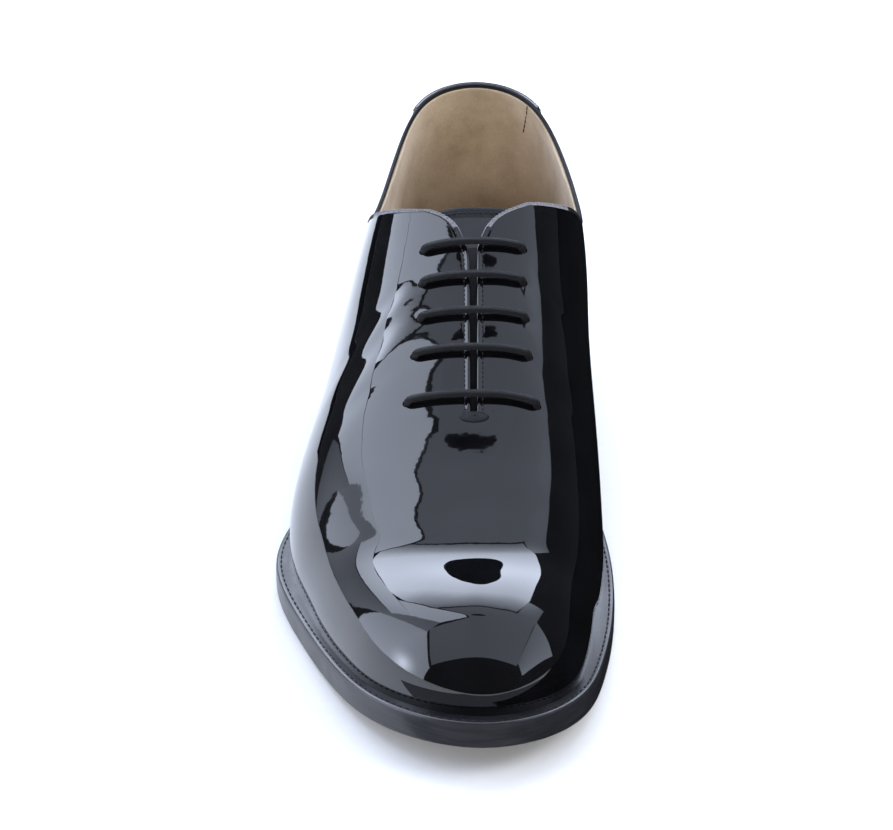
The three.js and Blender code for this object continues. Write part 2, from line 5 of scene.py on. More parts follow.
import bpy
import numpy as np
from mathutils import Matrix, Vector


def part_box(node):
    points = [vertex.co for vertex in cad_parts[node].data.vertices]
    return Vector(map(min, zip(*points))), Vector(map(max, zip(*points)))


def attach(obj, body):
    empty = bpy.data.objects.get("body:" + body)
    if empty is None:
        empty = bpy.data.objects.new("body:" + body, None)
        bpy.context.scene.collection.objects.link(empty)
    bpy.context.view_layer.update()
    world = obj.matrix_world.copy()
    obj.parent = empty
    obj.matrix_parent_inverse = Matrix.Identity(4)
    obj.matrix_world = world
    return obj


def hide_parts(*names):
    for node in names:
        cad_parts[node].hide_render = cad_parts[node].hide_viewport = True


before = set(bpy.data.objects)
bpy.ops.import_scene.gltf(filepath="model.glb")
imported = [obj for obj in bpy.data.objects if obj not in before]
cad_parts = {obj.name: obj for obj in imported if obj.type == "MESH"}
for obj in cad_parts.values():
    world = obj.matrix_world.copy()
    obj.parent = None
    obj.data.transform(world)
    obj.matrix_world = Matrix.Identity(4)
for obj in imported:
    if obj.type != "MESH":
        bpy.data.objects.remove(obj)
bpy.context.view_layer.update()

# Driving sizes of the foot form and its pieces, in millimetres, as the construction has them
FORM_LENGTH = 290
BALL_WIDTH = 100.7
INSTEP_RISE = 85
HEEL_LIFT = 22
TOE_SPRING = 8.5
WALL = 2
OUTSOLE_THICKNESS = 5.5
WELT_THICKNESS = 3.4
WELT_REACH = 4
WELT_WIDTH = 11
INSOLE_THICKNESS = 3
TOP_LIFT_THICKNESS = 6
COUNTER_THICKNESS = 1.2
TONGUE_THICKNESS = 2
LACE_DIAMETER = 2.4
SEAT = 0.3
LACE_CLEARANCE = 0.5
HEEL_END = 0.22
SEAT_FALL = 0.02
FLAT_START = 0.58
FLAT_END = 0.72
THROAT_SHIFT = 0.011
CROWN = 2.2
TUCK_FADE = 0.13
COUNTER_FOOT = 1.7
COUNTER_TOP = 1.25
HEEL_TAPER = 1 / 12
MM = 0.001

# Thickness of the patent skin over the lining, and how far the lining stays under the rim
SKIN = 1.2
LINING_DROP = 0.9

# along, foot, half widths, tucks, powers and welt reach of each section, outer side then inner side
SECTIONS = [
    (0.005, 0.125, 0, 0, 0.03, 0.03, 1.9, 1.9, 0.8, 0.8),
    (0.038, 0.13, 0.212, 0.218, 0.03, 0.03, 1.9, 1.9, 0.8, 0.8),
    (0.131, 0.16, 0.306, 0.33, 0.03, 0.035, 2, 2.1, 0.7, 0.6),
    (0.272, 0.272, 0.37, 0.378, 0.045, 0.07, 2.5, 2.8, 0.5, 0.38),
    (0.397, 0.397, 0.457, 0.385, 0.055, 0.084, 2.5, 3.1, 0.7, 0.38),
    (0.517, 0.517, 0.532, 0.401, 0.035, 0.05, 2.4, 3, 1.05, 0.62),
    (0.636, 0.634, 0.593, 0.407, 0.015, 0.018, 2.4, 2.8, 1.2, 0.88),
    (0.75, 0.733, 0.531, 0.399, 0.01, 0.01, 2.5, 2.6, 0.82, 0.9),
    (0.852, 0.815, 0.417, 0.357, 0.008, 0.008, 2.4, 2.4, 0.8, 0.95),
    (0.94, 0.85, 0.253, 0.263, 0.006, 0.006, 2.3, 2.3, 1.05, 1.05),
    (0.988, 0.86, -0.02, 0.02, 0.006, 0.006, 2.2, 2.2, 1.35, 1.35),
]

# along and rise of the ridge and of the top edge
RIDGE = [(0, 1.05), (0.12, 1.07), (0.3, 1.066), (0.414, 1), (0.53, 0.893), (0.662, 0.666),
         (0.75, 0.528), (0.84, 0.4265), (0.92, 0.359), (1, 0.2835)]
TOPLINE = [(-0.06, 0.7), (0.02, 0.675), (0.05, 0.65), (0.1, 0.59), (0.172, 0.527), (0.235, 0.515),
           (0.275, 0.538), (0.31, 0.605), (0.34, 0.7), (0.365, 0.785), (0.39, 0.872), (0.408, 0.932),
           (0.42, 0.968), (0.43, 1)]

# along and half width of the throat
THROAT = [(0.39, 0.2), (0.413, 0.168), (0.4228, 0.126), (0.431, 0.084), (0.44, 0.0535), (0.45, 0.036),
          (0.458, 0.026), (0.468, 0.017), (0.482, 0.006), (0.664, 0.003)]

# along, outer place and inner place of each pair of eyelets
LACE_ROWS = [(0.467, 0.165, 0.15), (0.506, 0.168, 0.15), (0.549, 0.174, 0.156), (0.592, 0.19, 0.166),
             (0.644, 0.212, 0.19)]

# along, half width and depth under the lace of the tongue
TONGUE = [(0.4135, 0.135, 1), (0.416, 0.17, 1), (0.421, 0.192, 1), (0.432, 0.207, 1), (0.45, 0.215, 1),
          (0.48, 0.22, 1), (0.52, 0.225, 1), (0.56, 0.23, 1), (0.6, 0.235, 1), (0.64, 0.232, 1),
          (0.67, 0.228, 1), (0.69, 0.222, 0.55), (0.708, 0.21, 0.1), (0.722, 0.195, 0),
          (0.742, 0.17, 0)]


def smooth(low, high, x):
    """Soft step from 0 at low to 1 at high."""
    t = np.clip((np.asarray(x, float) - low) / (high - low), 0, 1)
    return t * t * (3 - 2 * t)


def curve(rows, value_scale, column=1):
    """Smooth curve through rows of shares, with straight ends."""
    xs = np.array([r[0] for r in rows]) * FORM_LENGTH
    ys = np.array([r[column] for r in rows]) * value_scale
    last = len(xs) - 1
    matrix = np.eye(last + 1)
    turn = np.zeros(last + 1)
    for i in range(1, last):
        before = xs[i] - xs[i - 1]
        after = xs[i + 1] - xs[i]
        matrix[i, i - 1:i + 2] = before, 2 * (before + after), after
        turn[i] = 6 * ((ys[i + 1] - ys[i]) / after - (ys[i] - ys[i - 1]) / before)
    bend = np.linalg.solve(matrix, turn)

    def at(x):
        x = np.asarray(x, float)
        i = np.clip(np.searchsorted(xs, x) - 1, 0, last - 1)
        h = xs[i + 1] - xs[i]
        held = np.clip(x, xs[0], xs[last])
        t = (held - xs[i]) / h
        s = 1 - t
        wave = ((s**3 - s) * bend[i] + (t**3 - t) * bend[i + 1]) * h * h / 6
        end = np.where(x > held, 2 * bend[i + 1] + bend[i], -2 * bend[i] - bend[i + 1]) / 6
        return s * ys[i] + t * ys[i + 1] + wave + (x - held) * ((ys[i + 1] - ys[i]) / h + end * h)

    return at


def around(outer, inner, outer_scale, inner_scale):
    """Smooth closed curve through a column of the sections, down the outer side and back."""
    values = [r[outer] * outer_scale for r in SECTIONS]
    values += [r[inner] * inner_scale for r in reversed(SECTIONS[1:-1])]
    values = np.array(values)
    n = len(values)
    ring = np.arange(n)
    matrix = 4 * np.eye(n)
    matrix[ring, (ring + 1) % n] = 1
    matrix[ring, (ring - 1) % n] = 1
    bend = np.linalg.solve(matrix, 6 * (np.roll(values, -1) - 2 * values + np.roll(values, 1)))

    def at(u):
        i = np.floor(u).astype(int) % n
        j = (i + 1) % n
        t = u - np.floor(u)
        s = 1 - t
        return s * values[i] + t * values[j] + ((s**3 - s) * bend[i] + (t**3 - t) * bend[j]) / 6

    return at


HALF_TURN = len(SECTIONS) - 1
FULL_TURN = 2 * HALF_TURN
side_at = around(2, 3, -BALL_WIDTH, BALL_WIDTH)
along_at = around(0, 0, FORM_LENGTH, FORM_LENGTH)
foot_at = around(1, 1, FORM_LENGTH, FORM_LENGTH)
tuck_at = around(4, 5, BALL_WIDTH, BALL_WIDTH)
power_at = around(6, 7, 1, 1)
reach_at = around(8, 9, WELT_REACH, WELT_REACH)
ridge = curve(RIDGE, INSTEP_RISE)
topline = curve(TOPLINE, INSTEP_RISE)

WELT_UNDER = OUTSOLE_THICKNESS + SEAT
WELT_TOP = WELT_UNDER + WELT_THICKNESS
FEATHER = WELT_TOP + SEAT


def sole_under(d):
    """Underside of the sole: heel seat, arch, flat tread and toe spring."""
    s = np.asarray(d, float) / FORM_LENGTH
    spring = np.maximum((s - FLAT_END) / (1 - FLAT_END), 0)
    climb = np.clip((FLAT_START - s) / (FLAT_START - HEEL_END), 0, 1)
    arch = HEEL_LIFT * climb**3 * (climb * (6 * climb - 15) + 10)
    seat = SEAT_FALL * np.maximum(HEEL_END - s, 0) * FORM_LENGTH
    return TOE_SPRING * spring**2 + arch + seat


def feather(d):
    return sole_under(d) + FEATHER


def form_point(u, angle, inset=0.0):
    """A point of the form, u around the feather line, angle up to the ridge, inset inwards."""
    side = side_at(u)
    foot = foot_at(u)
    run = along_at(u) - foot
    out = np.maximum(np.cos(angle), 0) ** (2 / power_at(u))
    up = np.sin(angle) ** (2 / CROWN)
    over = foot + run * out
    height = (ridge(over) - inset) * up
    tuck = tuck_at(u) * np.exp(-height / (TUCK_FADE * INSTEP_RISE))
    scale = out * (1 - (tuck + inset) / np.hypot(side, run))
    return np.stack([side * scale, -(foot + run * scale), feather(over) + height], -1)


def sole_point(u, reach, up):
    """A point of the sole's outline, a reach outside the feather line."""
    side = side_at(u)
    foot = foot_at(u)
    run = along_at(u) - foot
    scale = 1 + (reach - tuck_at(u)) / np.hypot(side, run)
    d = foot + run * scale
    return np.stack([side * scale, -d, sole_under(d) + up], -1)


def halve(low, high, below):
    """Places between low and high where below(place) turns from true to false."""
    for _ in range(36):
        middle = (low + high) / 2
        under = below(middle)
        low = np.where(under, middle, low)
        high = np.where(under, high, middle)
    return (low + high) / 2


def instep_height(x, d):
    """Height of the form over a place on the instep."""
    u = halve(np.zeros_like(d), np.full_like(d, HALF_TURN), lambda m: along_at(m) < d)
    u = np.where(x < 0, u, FULL_TURN - u)
    out = np.minimum(np.abs(x / side_at(u)), 1)
    return feather(d) + ridge(d) * (1 - out ** power_at(u)) ** (1 / CROWN)


def over_instep(x, d, lift):
    """Points a lift above the instep, square to its surface."""
    x, d, lift = np.broadcast_arrays(*(np.asarray(v, float) for v in (x, d, lift)))
    near = WALL / 4
    slope_x = (instep_height(x + near, d) - instep_height(x - near, d)) / (2 * near)
    slope_d = (instep_height(x, d + near) - instep_height(x, d - near)) / (2 * near)
    square = np.stack([-slope_x, slope_d, np.ones_like(x)], -1)
    square /= np.linalg.norm(square, axis=-1, keepdims=True)
    return np.stack([x, -d, instep_height(x, d)], -1) + square * lift[..., None]


# Where the form's own frame lies in the shared frame
COARSE = np.arange(0, FULL_TURN, 0.25)
sole_edge = sole_point(COARSE, reach_at(COARSE), 0)
sole_low, sole_high = (np.array(c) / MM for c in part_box("outsole"))
SHIFT = (sole_low + sole_high - sole_edge.min(0) - sole_edge.max(0)) / 2
SHIFT[2] = 0


def to_frame(points):
    return (np.asarray(points, float) + SHIFT) * MM


# Mesh helpers
def grid_faces(rows, columns, closed=False):
    """Quads of a grid of points given row after row."""
    r = np.arange(rows - 1)[:, None] * columns
    c = np.arange(columns if closed else columns - 1)[None, :]
    after = (c + 1) % columns
    return np.stack([r + c, r + after, r + columns + after, r + columns + c], -1).reshape(-1, 4)


def volume_of(points, faces):
    a, b, c, d = (points[faces[:, k]] for k in range(4))
    halves = np.einsum("ij,ij->i", a, np.cross(b, c)) + np.einsum("ij,ij->i", a, np.cross(c, d))
    return halves.sum() / 6


def mesh_of(name, points, faces):
    """A mesh of quads that faces out. A quad with a doubled corner becomes a triangle."""
    if volume_of(points - points.mean(0), faces) < 0:
        faces = faces[:, ::-1]
    mesh = bpy.data.meshes.new(name)
    mesh.from_pydata(points.tolist(), [], [list(dict.fromkeys(f)) for f in faces.tolist()])
    return mesh


def add_mesh(name, points, faces, materials, nodes=(), sharp=None):
    """A piece made of quads in the form's millimetres, without unused points."""
    used, faces = np.unique(faces, return_inverse=True)
    mesh = mesh_of(name, to_frame(points)[used], faces.reshape(-1, 4))
    mesh.polygons.foreach_set("use_smooth", np.ones(len(mesh.polygons), bool))
    if sharp:
        mesh.set_sharp_from_angle(angle=math.radians(sharp))
    for material in materials:
        mesh.materials.append(material)
    piece = bpy.data.objects.new(name, mesh)
    bpy.context.collection.objects.link(piece)
    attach(piece, "root")
    if nodes:
        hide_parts(*nodes)
    return piece


def plate_faces(rows, columns):
    """Quads of a top grid and a bottom grid that share their size, joined round their edge."""
    top = grid_faces(rows, columns)
    count = rows * columns
    edge = list(range(columns)) + [r * columns + columns - 1 for r in range(1, rows)]
    edge += [(rows - 1) * columns + c for c in range(columns - 2, -1, -1)]
    edge += [r * columns for r in range(rows - 2, 0, -1)]
    edge = np.array(edge)
    after = np.roll(edge, -1)
    wall = np.stack([edge, edge + count, after + count, after], -1)
    return np.concatenate([top, top[:, ::-1] + count, wall])


def ring_faces(rings, columns, cap_low, cap_high):
    """Quads between closed rings, with caps made of rungs from one side of a ring to the other."""
    parts = [grid_faces(rings, columns, closed=True)]
    k = np.arange(0, columns // 2)
    rungs = np.stack([k, k + 1, (columns - k - 1) % columns, (columns - k) % columns], -1)
    if cap_low:
        parts.append(rungs[:, ::-1])
    if cap_high:
        parts.append(rungs + (rings - 1) * columns)
    return np.concatenate(parts)


# Size and reach of the rings that round off a tube's end
END_ROUND = [(0.3, 0.95), (0.7, 0.7), (0.93, 0.35)]


def tube_mesh(points, radius, sides):
    """Rings round a line of points, turned with it, and closed with rounded ends."""
    points = np.asarray(points, float)
    along = np.gradient(points, axis=0)
    along /= np.linalg.norm(along, axis=1, keepdims=True)
    side = np.cross(along[0], (0, 0, 1))
    side /= np.linalg.norm(side)
    turn = 2 * np.pi * np.arange(sides) / sides
    rings = []
    for p, t in zip(points, along):
        side = side - t * side.dot(t)
        side /= np.linalg.norm(side)
        up = np.cross(t, side)
        rings.append(p + radius * (np.cos(turn)[:, None] * side + np.sin(turn)[:, None] * up))
    start = [points[0] + (rings[0] - points[0]) * s - along[0] * radius * c for s, c in END_ROUND]
    end = [points[-1] + (rings[-1] - points[-1]) * s + along[-1] * radius * c for s, c in END_ROUND]
    rings = start + rings + end[::-1]
    return np.concatenate(rings), ring_faces(len(rings), sides, True, True)


# Material helpers
def new_material(name, **sockets):
    """A principled material. Sockets are named with underscores for spaces."""
    made = bpy.data.materials.new(name)
    made.use_nodes = True
    shader = made.node_tree.nodes["Principled BSDF"]
    for socket, value in sockets.items():
        shader.inputs[socket.replace("_", " ")].default_value = value
    return made


class Weaver:
    """A principled material and the nodes that give it its look."""

    def __init__(self, name, **sockets):
        self.material = new_material(name, **sockets)
        self.tree = self.material.node_tree
        self.shader = self.tree.nodes["Principled BSDF"]
        self.place = self.tree.nodes.new("ShaderNodeTexCoord")
        self.height = None

    def node(self, kind, **inputs):
        made = self.tree.nodes.new("ShaderNode" + kind)
        for key, value in inputs.items():
            socket = made.inputs[key.replace("_", " ")]
            if isinstance(value, bpy.types.NodeSocket):
                self.tree.links.new(value, socket)
            else:
                socket.default_value = value
        return made

    def stretched(self, scale, source="Object"):
        """Coordinates in metres, or of the mesh's own map, times a scale for each axis."""
        return self.node("Mapping", Vector=self.place.outputs[source], Scale=scale).outputs[0]

    def noise(self, scale, detail=2.0, rough=0.5, where=None):
        where = where or self.place.outputs["Object"]
        made = self.node("TexNoise", Vector=where, Scale=scale, Detail=detail, Roughness=rough)
        return made.outputs["Fac"]

    def cells(self, scale):
        made = self.node("TexVoronoi", Vector=self.place.outputs["Object"], Scale=scale)
        return made.outputs["Distance"]

    def wave(self, scale, where, distortion=0.0):
        made = self.node("TexWave", Vector=where, Scale=scale, Distortion=distortion)
        return made.outputs["Fac"]

    def ramp(self, source, stops):
        """Colour or value that runs through stops of (place, colour)."""
        made = self.node("ValToRGB", Fac=source)
        elements = made.color_ramp.elements
        while len(elements) < len(stops):
            elements.new(0.5)
        for element, (at, value) in zip(elements, stops):
            element.position = at
            element.color = (*value, 1) if hasattr(value, "__len__") else (value, value, value, 1)
        return made.outputs["Color"]

    def mix(self, share, a, b, kind="MIX"):
        made = self.tree.nodes.new("ShaderNodeMix")
        made.data_type = "RGBA"
        made.blend_type = kind
        for socket, value in ((made.inputs[0], share), (made.inputs[6], a), (made.inputs[7], b)):
            if isinstance(value, bpy.types.NodeSocket):
                self.tree.links.new(value, socket)
            else:
                socket.default_value = value if socket == made.inputs[0] else (*value, 1)
        return made.outputs[2]

    def set(self, socket, source):
        self.tree.links.new(source, self.shader.inputs[socket])

    def colour(self, source, dark, light, low=0.3, high=0.7):
        self.set("Base Color", self.ramp(source, [(low, dark), (high, light)]))

    def bump(self, source, depth, strength=1.0):
        """Stacks one more bump of a depth in millimetres."""
        made = self.node("Bump", Height=source, Distance=depth * MM, Strength=strength)
        if self.height:
            self.tree.links.new(self.height, made.inputs["Normal"])
        self.height = made.outputs["Normal"]
        self.set("Normal", self.height)
        self.set("Coat Normal", self.height)


def patent(name, dark, light, waviness):
    """Lacquered leather: a deep colour under a clear mirror coat with slight waves."""
    w = Weaver(name, Roughness=0.04, Specular_IOR_Level=0.5, Coat_Weight=1.0, Coat_Roughness=0.012,
               Coat_IOR=1.5)
    w.colour(w.noise(60, 3), dark, light, 0.35)
    w.bump(w.noise(38, 1, 0.4), 0.25 * waviness)
    w.bump(w.noise(150, 2, 0.5), 0.02 * waviness)
    return w.material


def lining_leather(name, dark, middle, light):
    """Soft napped leather with mottled colour."""
    w = Weaver(name, Roughness=0.85, Specular_IOR_Level=0.25, Sheen_Weight=0.25, Sheen_Roughness=0.5)
    base = w.ramp(w.noise(55, 5, 0.6), [(0.3, dark), (0.5, middle), (0.72, light)])
    nap = w.ramp(w.noise(1400, 3, 0.7), [(0.3, 0.82), (0.7, 1.0)])
    w.set("Base Color", w.mix(1.0, base, nap, "MULTIPLY"))
    w.bump(w.noise(900, 3, 0.7), 0.08)
    w.bump(w.noise(120, 2), 0.12)
    return w.material


def sole_edge_finish(name, dark, light, rough):
    """Waxed and burnished edge with fine lines along it."""
    w = Weaver(name, Specular_IOR_Level=0.5, Coat_Weight=0.4, Coat_Roughness=0.25)
    lines = w.noise(60, 3, 0.6, w.stretched((1, 1, 14)))
    w.colour(lines, dark, light)
    w.set("Roughness", w.ramp(w.noise(90, 3), [(0.3, rough - 0.05), (0.7, rough + 0.07)]))
    w.bump(lines, 0.04)
    w.bump(w.noise(700, 2), 0.02)
    return w.material


def thread(name, dark, light):
    w = Weaver(name, Roughness=0.6, Specular_IOR_Level=0.4)
    twist = w.wave(700, w.stretched((1, 1, 1)), 1.0)
    w.colour(twist, dark, light, 0.2, 0.8)
    w.bump(twist, 0.08)
    return w.material


def waxed_cord(name, dark, light):
    """Round braided cord: two crossing waves over the tube's own map."""
    w = Weaver(name, Roughness=0.42, Specular_IOR_Level=0.3, Sheen_Weight=0.05)
    right = w.wave(1.0, w.stretched((3, 3, 1), "UV"))
    left = w.wave(1.0, w.stretched((3, -3, 1), "UV"))
    braid = w.mix(0.5, right, left)
    w.colour(braid, dark, light, 0.2, 0.8)
    w.bump(braid, 0.12)
    w.bump(w.noise(1500, 2), 0.02)
    return w.material


def cut_edge(name):
    w = Weaver(name, Roughness=0.75, Specular_IOR_Level=0.3)
    fibres = w.noise(1600, 3, 0.7)
    w.colour(fibres, (0.09, 0.09, 0.1), (0.3, 0.3, 0.33), high=0.65)
    w.bump(fibres, 0.1)
    return w.material


def dark_leather(name):
    """Unlacquered black leather."""
    w = Weaver(name, Roughness=0.62, Specular_IOR_Level=0.3)
    w.colour(w.noise(400, 3), (0.004, 0.004, 0.005), (0.01, 0.01, 0.012))
    w.bump(w.cells(1300), 0.05)
    return w.material


def sole_bottom(name):
    w = Weaver(name, Specular_IOR_Level=0.4)
    grain = w.noise(220, 4, 0.6)
    w.colour(grain, (0.014, 0.012, 0.011), (0.03, 0.026, 0.024))
    w.set("Roughness", w.ramp(w.noise(35, 4), [(0.3, 0.42), (0.7, 0.6)]))
    w.bump(w.cells(900), 0.05)
    w.bump(grain, 0.05)
    return w.material


def rubber(name):
    w = Weaver(name, Roughness=0.78, Specular_IOR_Level=0.35)
    w.colour(w.noise(500, 3), (0.008, 0.008, 0.008), (0.02, 0.02, 0.02))
    w.bump(w.noise(1200, 2), 0.05)
    return w.material


PATENT = patent("black_patent", (0.0018, 0.0018, 0.0023), (0.0038, 0.0038, 0.0048), 1.0)
TONGUE_PATENT = patent("tongue_patent", (0.006, 0.006, 0.0075), (0.012, 0.012, 0.015), 1.4)
LINING = lining_leather("tan_lining", (0.42, 0.325, 0.22), (0.57, 0.455, 0.32), (0.69, 0.565, 0.415))
SOCK = lining_leather("tan_sock", (0.44, 0.31, 0.19), (0.56, 0.41, 0.26), (0.66, 0.5, 0.33))
EDGE = sole_edge_finish("burnished_edge", (0.012, 0.012, 0.0145), (0.027, 0.027, 0.032), 0.33)
LIFTS = sole_edge_finish("burnished_lifts", (0.012, 0.012, 0.014), (0.024, 0.024, 0.028), 0.3)
BOTTOM = sole_bottom("dyed_sole_leather")
RUBBER = rubber("top_lift_rubber")
THREAD = thread("black_thread", (0.004, 0.004, 0.005), (0.02, 0.02, 0.024))
PALE_THREAD = thread("grey_thread", (0.12, 0.12, 0.13), (0.3, 0.3, 0.33))
CORD = waxed_cord("waxed_cord", (0.002, 0.002, 0.0026), (0.009, 0.009, 0.012))
BROWN_THREAD = thread("brown_thread", (0.03, 0.02, 0.013), (0.09, 0.06, 0.04))
CUT = cut_edge("cut_edge")
DARK_LEATHER = dark_leather("dark_leather")

# Upper: the columns of its mesh run from the feather line up to the top edge or the ridge
COLUMNS_PER_SECTION = 24
COLUMNS = FULL_TURN * COLUMNS_PER_SECTION
U = np.arange(COLUMNS) / COLUMNS_PER_SECTION
FINE = np.linspace(0, np.pi / 2, 700)
TOP_END = TOPLINE[-1][0] * FORM_LENGTH
THROAT_START = THROAT[0][0] * FORM_LENGTH
THROAT_END = THROAT[-1][0] * FORM_LENGTH
THROAT_X = -THROAT_SHIFT * BALL_WIDTH
FACING_GAP = 0.25
EASE = (-1.6, -0.8, 0, 0.8, 1.6)
# How much higher the inner quarter's front corner and the collar's back end are, and where
INNER_CORNER = 2.4
CORNER_RISES = (0.285 * FORM_LENGTH, 0.345 * FORM_LENGTH)
BACK_RISE = 1.6
BACK_FADES = (0.02 * FORM_LENGTH, 0.14 * FORM_LENGTH)
# Run of the pale cut edge at the fronts of the quarters
FRONT_START = 0.36 * FORM_LENGTH
FRONT_END = 0.449 * FORM_LENGTH


def throat_half(d):
    """Half width of the throat, eased over a few millimetres."""
    ds = np.array([r[0] for r in THROAT]) * FORM_LENGTH
    halves = np.array([r[1] for r in THROAT]) * BALL_WIDTH
    return sum(np.interp(np.asarray(d) + e, ds, halves) for e in EASE) / len(EASE)


def cut_away(points, outer_side):
    """True where the form is open: over the top edge or in the throat."""
    x = points[..., 0]
    d = -points[..., 1]
    corner = smooth(*CORNER_RISES, d) * (x > 0)
    back = 1 - smooth(*BACK_FADES, d)
    edge = topline(d) + INNER_CORNER * corner + BACK_RISE * back
    over = (d < TOP_END) & (points[..., 2] - feather(d) > edge)
    half = throat_half(d)
    near = np.where(outer_side, x > THROAT_X - half, x < np.maximum(THROAT_X + half, FACING_GAP))
    return over | ((d > THROAT_START) & (d < THROAT_END) & near)


class Skin:
    """One inset surface of the form as columns of angles, measured from their top end."""

    def __init__(self, inset):
        self.inset = inset
        outer_side = (U > 0) & (U < HALF_TURN)
        grid = form_point(U[:, None], FINE[None, :], inset)
        gone = cut_away(grid, outer_side[:, None])
        self.open = gone.any(1)
        first = np.where(self.open, gone.argmax(1), len(FINE) - 1)
        low = FINE[np.maximum(first - 1, 0)]
        found = halve(low, FINE[first], lambda a: ~cut_away(form_point(U, a, inset), outer_side))
        self.end = np.where(self.open, found, np.pi / 2)
        share = np.linspace(0, 1, 500)
        self.angles = self.end[:, None] * share[None, :]
        points = form_point(U[:, None], self.angles, inset)
        steps = np.linalg.norm(np.diff(points, axis=1), axis=2)
        length = np.concatenate([np.zeros((COLUMNS, 1)), steps.cumsum(1)], axis=1)
        self.length = length[:, -1]
        self.gone = self.length[:, None] - length

    def angle(self, distances):
        """Angles of rows at distances from the top end, an array of rows by columns."""
        rows = [np.interp(-distances[:, i], -self.gone[i], self.angles[i]) for i in range(COLUMNS)]
        return np.array(rows).T


def row_distances(length, rows, near_rows, near_step, start):
    """Distances from the top end down to the feather line, close together near the top."""
    near = np.arange(near_rows) * near_step
    rest = np.linspace(0, 1, rows - near_rows + 1)[1:]
    last = near[-1]
    upper_part = np.repeat(near[:, None], len(length), 1) + start[None, :]
    lower_part = last + start[None, :] + (length - last - start)[None, :] * rest[:, None]
    return np.concatenate([upper_part, lower_part])


skin = Skin(0)
lining_skin = Skin(WALL)
OPEN = skin.open
MIRROR = (COLUMNS - np.arange(COLUMNS)) % COLUMNS


def wall_mesh(outer, inner, relief_out, relief_in, row_plan, foot_drop, drop=0.0):
    """Closed wall between two skins with a rounded top edge. Where a column reaches the ridge, the
    two sides share the ridge's points. Returns points, quads and each quad's row from the rim."""
    rows, near_rows, near_step = row_plan
    radius = (inner.inset - outer.inset) / 2
    start = np.where(OPEN, radius + drop, 0.0)
    out_rows = row_distances(outer.length, rows, near_rows, near_step, start)
    in_rows = row_distances(inner.length, rows // 2, near_rows // 2, 2 * near_step, start)
    out_angle = outer.angle(out_rows)
    in_angle = inner.angle(in_rows)
    u = U[None, :]
    out_points = form_point(u, out_angle, outer.inset + relief_out(out_rows, out_angle))
    in_points = form_point(u, in_angle, inner.inset + relief_in(in_rows, in_angle))
    tangent = out_points[0] - out_points[1]
    tangent /= np.linalg.norm(tangent, axis=1, keepdims=True)
    middle = (out_points[0] + in_points[0]) / 2
    turns = np.linspace(0, np.pi, 8)[1:-1]
    bulge = tangent * np.where(OPEN, radius, 0.0)[:, None]
    roll = [middle + (out_points[0] - middle) * math.cos(t) + bulge * math.sin(t) for t in turns]
    foot = out_points[-1] - np.array([0, 0, foot_drop])
    points = np.concatenate([[foot], out_points[::-1], roll, in_points])
    index = np.arange(points.shape[0] * COLUMNS).reshape(points.shape[0], COLUMNS)
    top = len(out_points)
    for row in range(top, top + len(turns) + 2):
        shared = ~OPEN & (U > HALF_TURN)
        index[row, shared] = index[row, MIRROR[shared]]
    after = np.roll(index, -1, 1)
    quads = np.stack([index[:-1], after[:-1], after[1:], index[1:]], -1)
    keep = np.ones(quads.shape[:2], bool)
    keep[top:top + len(turns) + 1] = OPEN | np.roll(OPEN, -1)
    close = np.stack([index[-1], after[-1], after[0], index[0]], -1)
    level = np.repeat(np.arange(len(quads))[:, None] - top, COLUMNS, 1)
    faces = np.concatenate([quads[keep], close])
    return points.reshape(-1, 3), faces, np.concatenate([level[keep], np.full(COLUMNS, -top)])


# Soft creases and dents of the upper: place across and along in millimetres, length, width, the
# turn of their long axis from straight across, and their depth
DENTS = [
    (-32, 150, 13, 3.4, -35, 0.18),
    (-34, 163, 14, 3.6, -38, 0.2),
    (-36, 157, 13, 3.0, -36, -0.12),
    (-32, 176, 11, 3.2, -30, 0.15),
    (26, 146, 8, 3.0, 40, 0.2),
    (25, 177, 9, 3.5, 30, 0.2),
]

# Relief along the edges, in millimetres: the facings begin and end softly and are folded under,
# with a stitch channel beside the fold. The other edges have a soft rim
FACING_BEGINS = (125, 131)
FACING_ENDS = (190.5, 192.5)
FACING_FOLD = (1.0, 1.8)
FOLD_RISE = 0.32
STITCH_LINE = 1.95
CHANNEL_WIDTH = 0.45
CHANNEL_DEPTH = 0.1
RIM_FADE = (1.2, 2.2)
RIM_RISE = 0.12

# Holes for the lace, and the dimple round each
EYELET_RADIUS = 1.4
DIMPLE_RADIUS = 2.2
DIMPLE_DEPTH = 0.1

# Heel grip: its ends round the form, its upper edge under the rim with its sweep, and its height
GRIP_ENDS = (2.3, 2.36)
GRIP_TOP = (8.5, 9.5)
GRIP_SWEEP = 2.2
GRIP_HEIGHT = 0.35

# The vamp sinks behind the toe puff: along and depth of the sink, and its half width across
TOE_BREAK = [(0.69, 0), (0.71, 0), (0.73, 0.02), (0.75, 0.14), (0.775, 0.65), (0.81, 1.7), (0.83, 2.35),
             (0.848, 2.15), (0.87, 1.35), (0.9, 0.6), (0.93, 0.17), (0.955, 0), (0.98, 0)]
BREAK_WIDTH = 50
BREAK_BEND = 0.01
break_depth = curve(TOE_BREAK, 1.0)


def place_on_plan(points):
    """How far across and along the form points lie."""
    return points[..., 0], -points[..., 1]


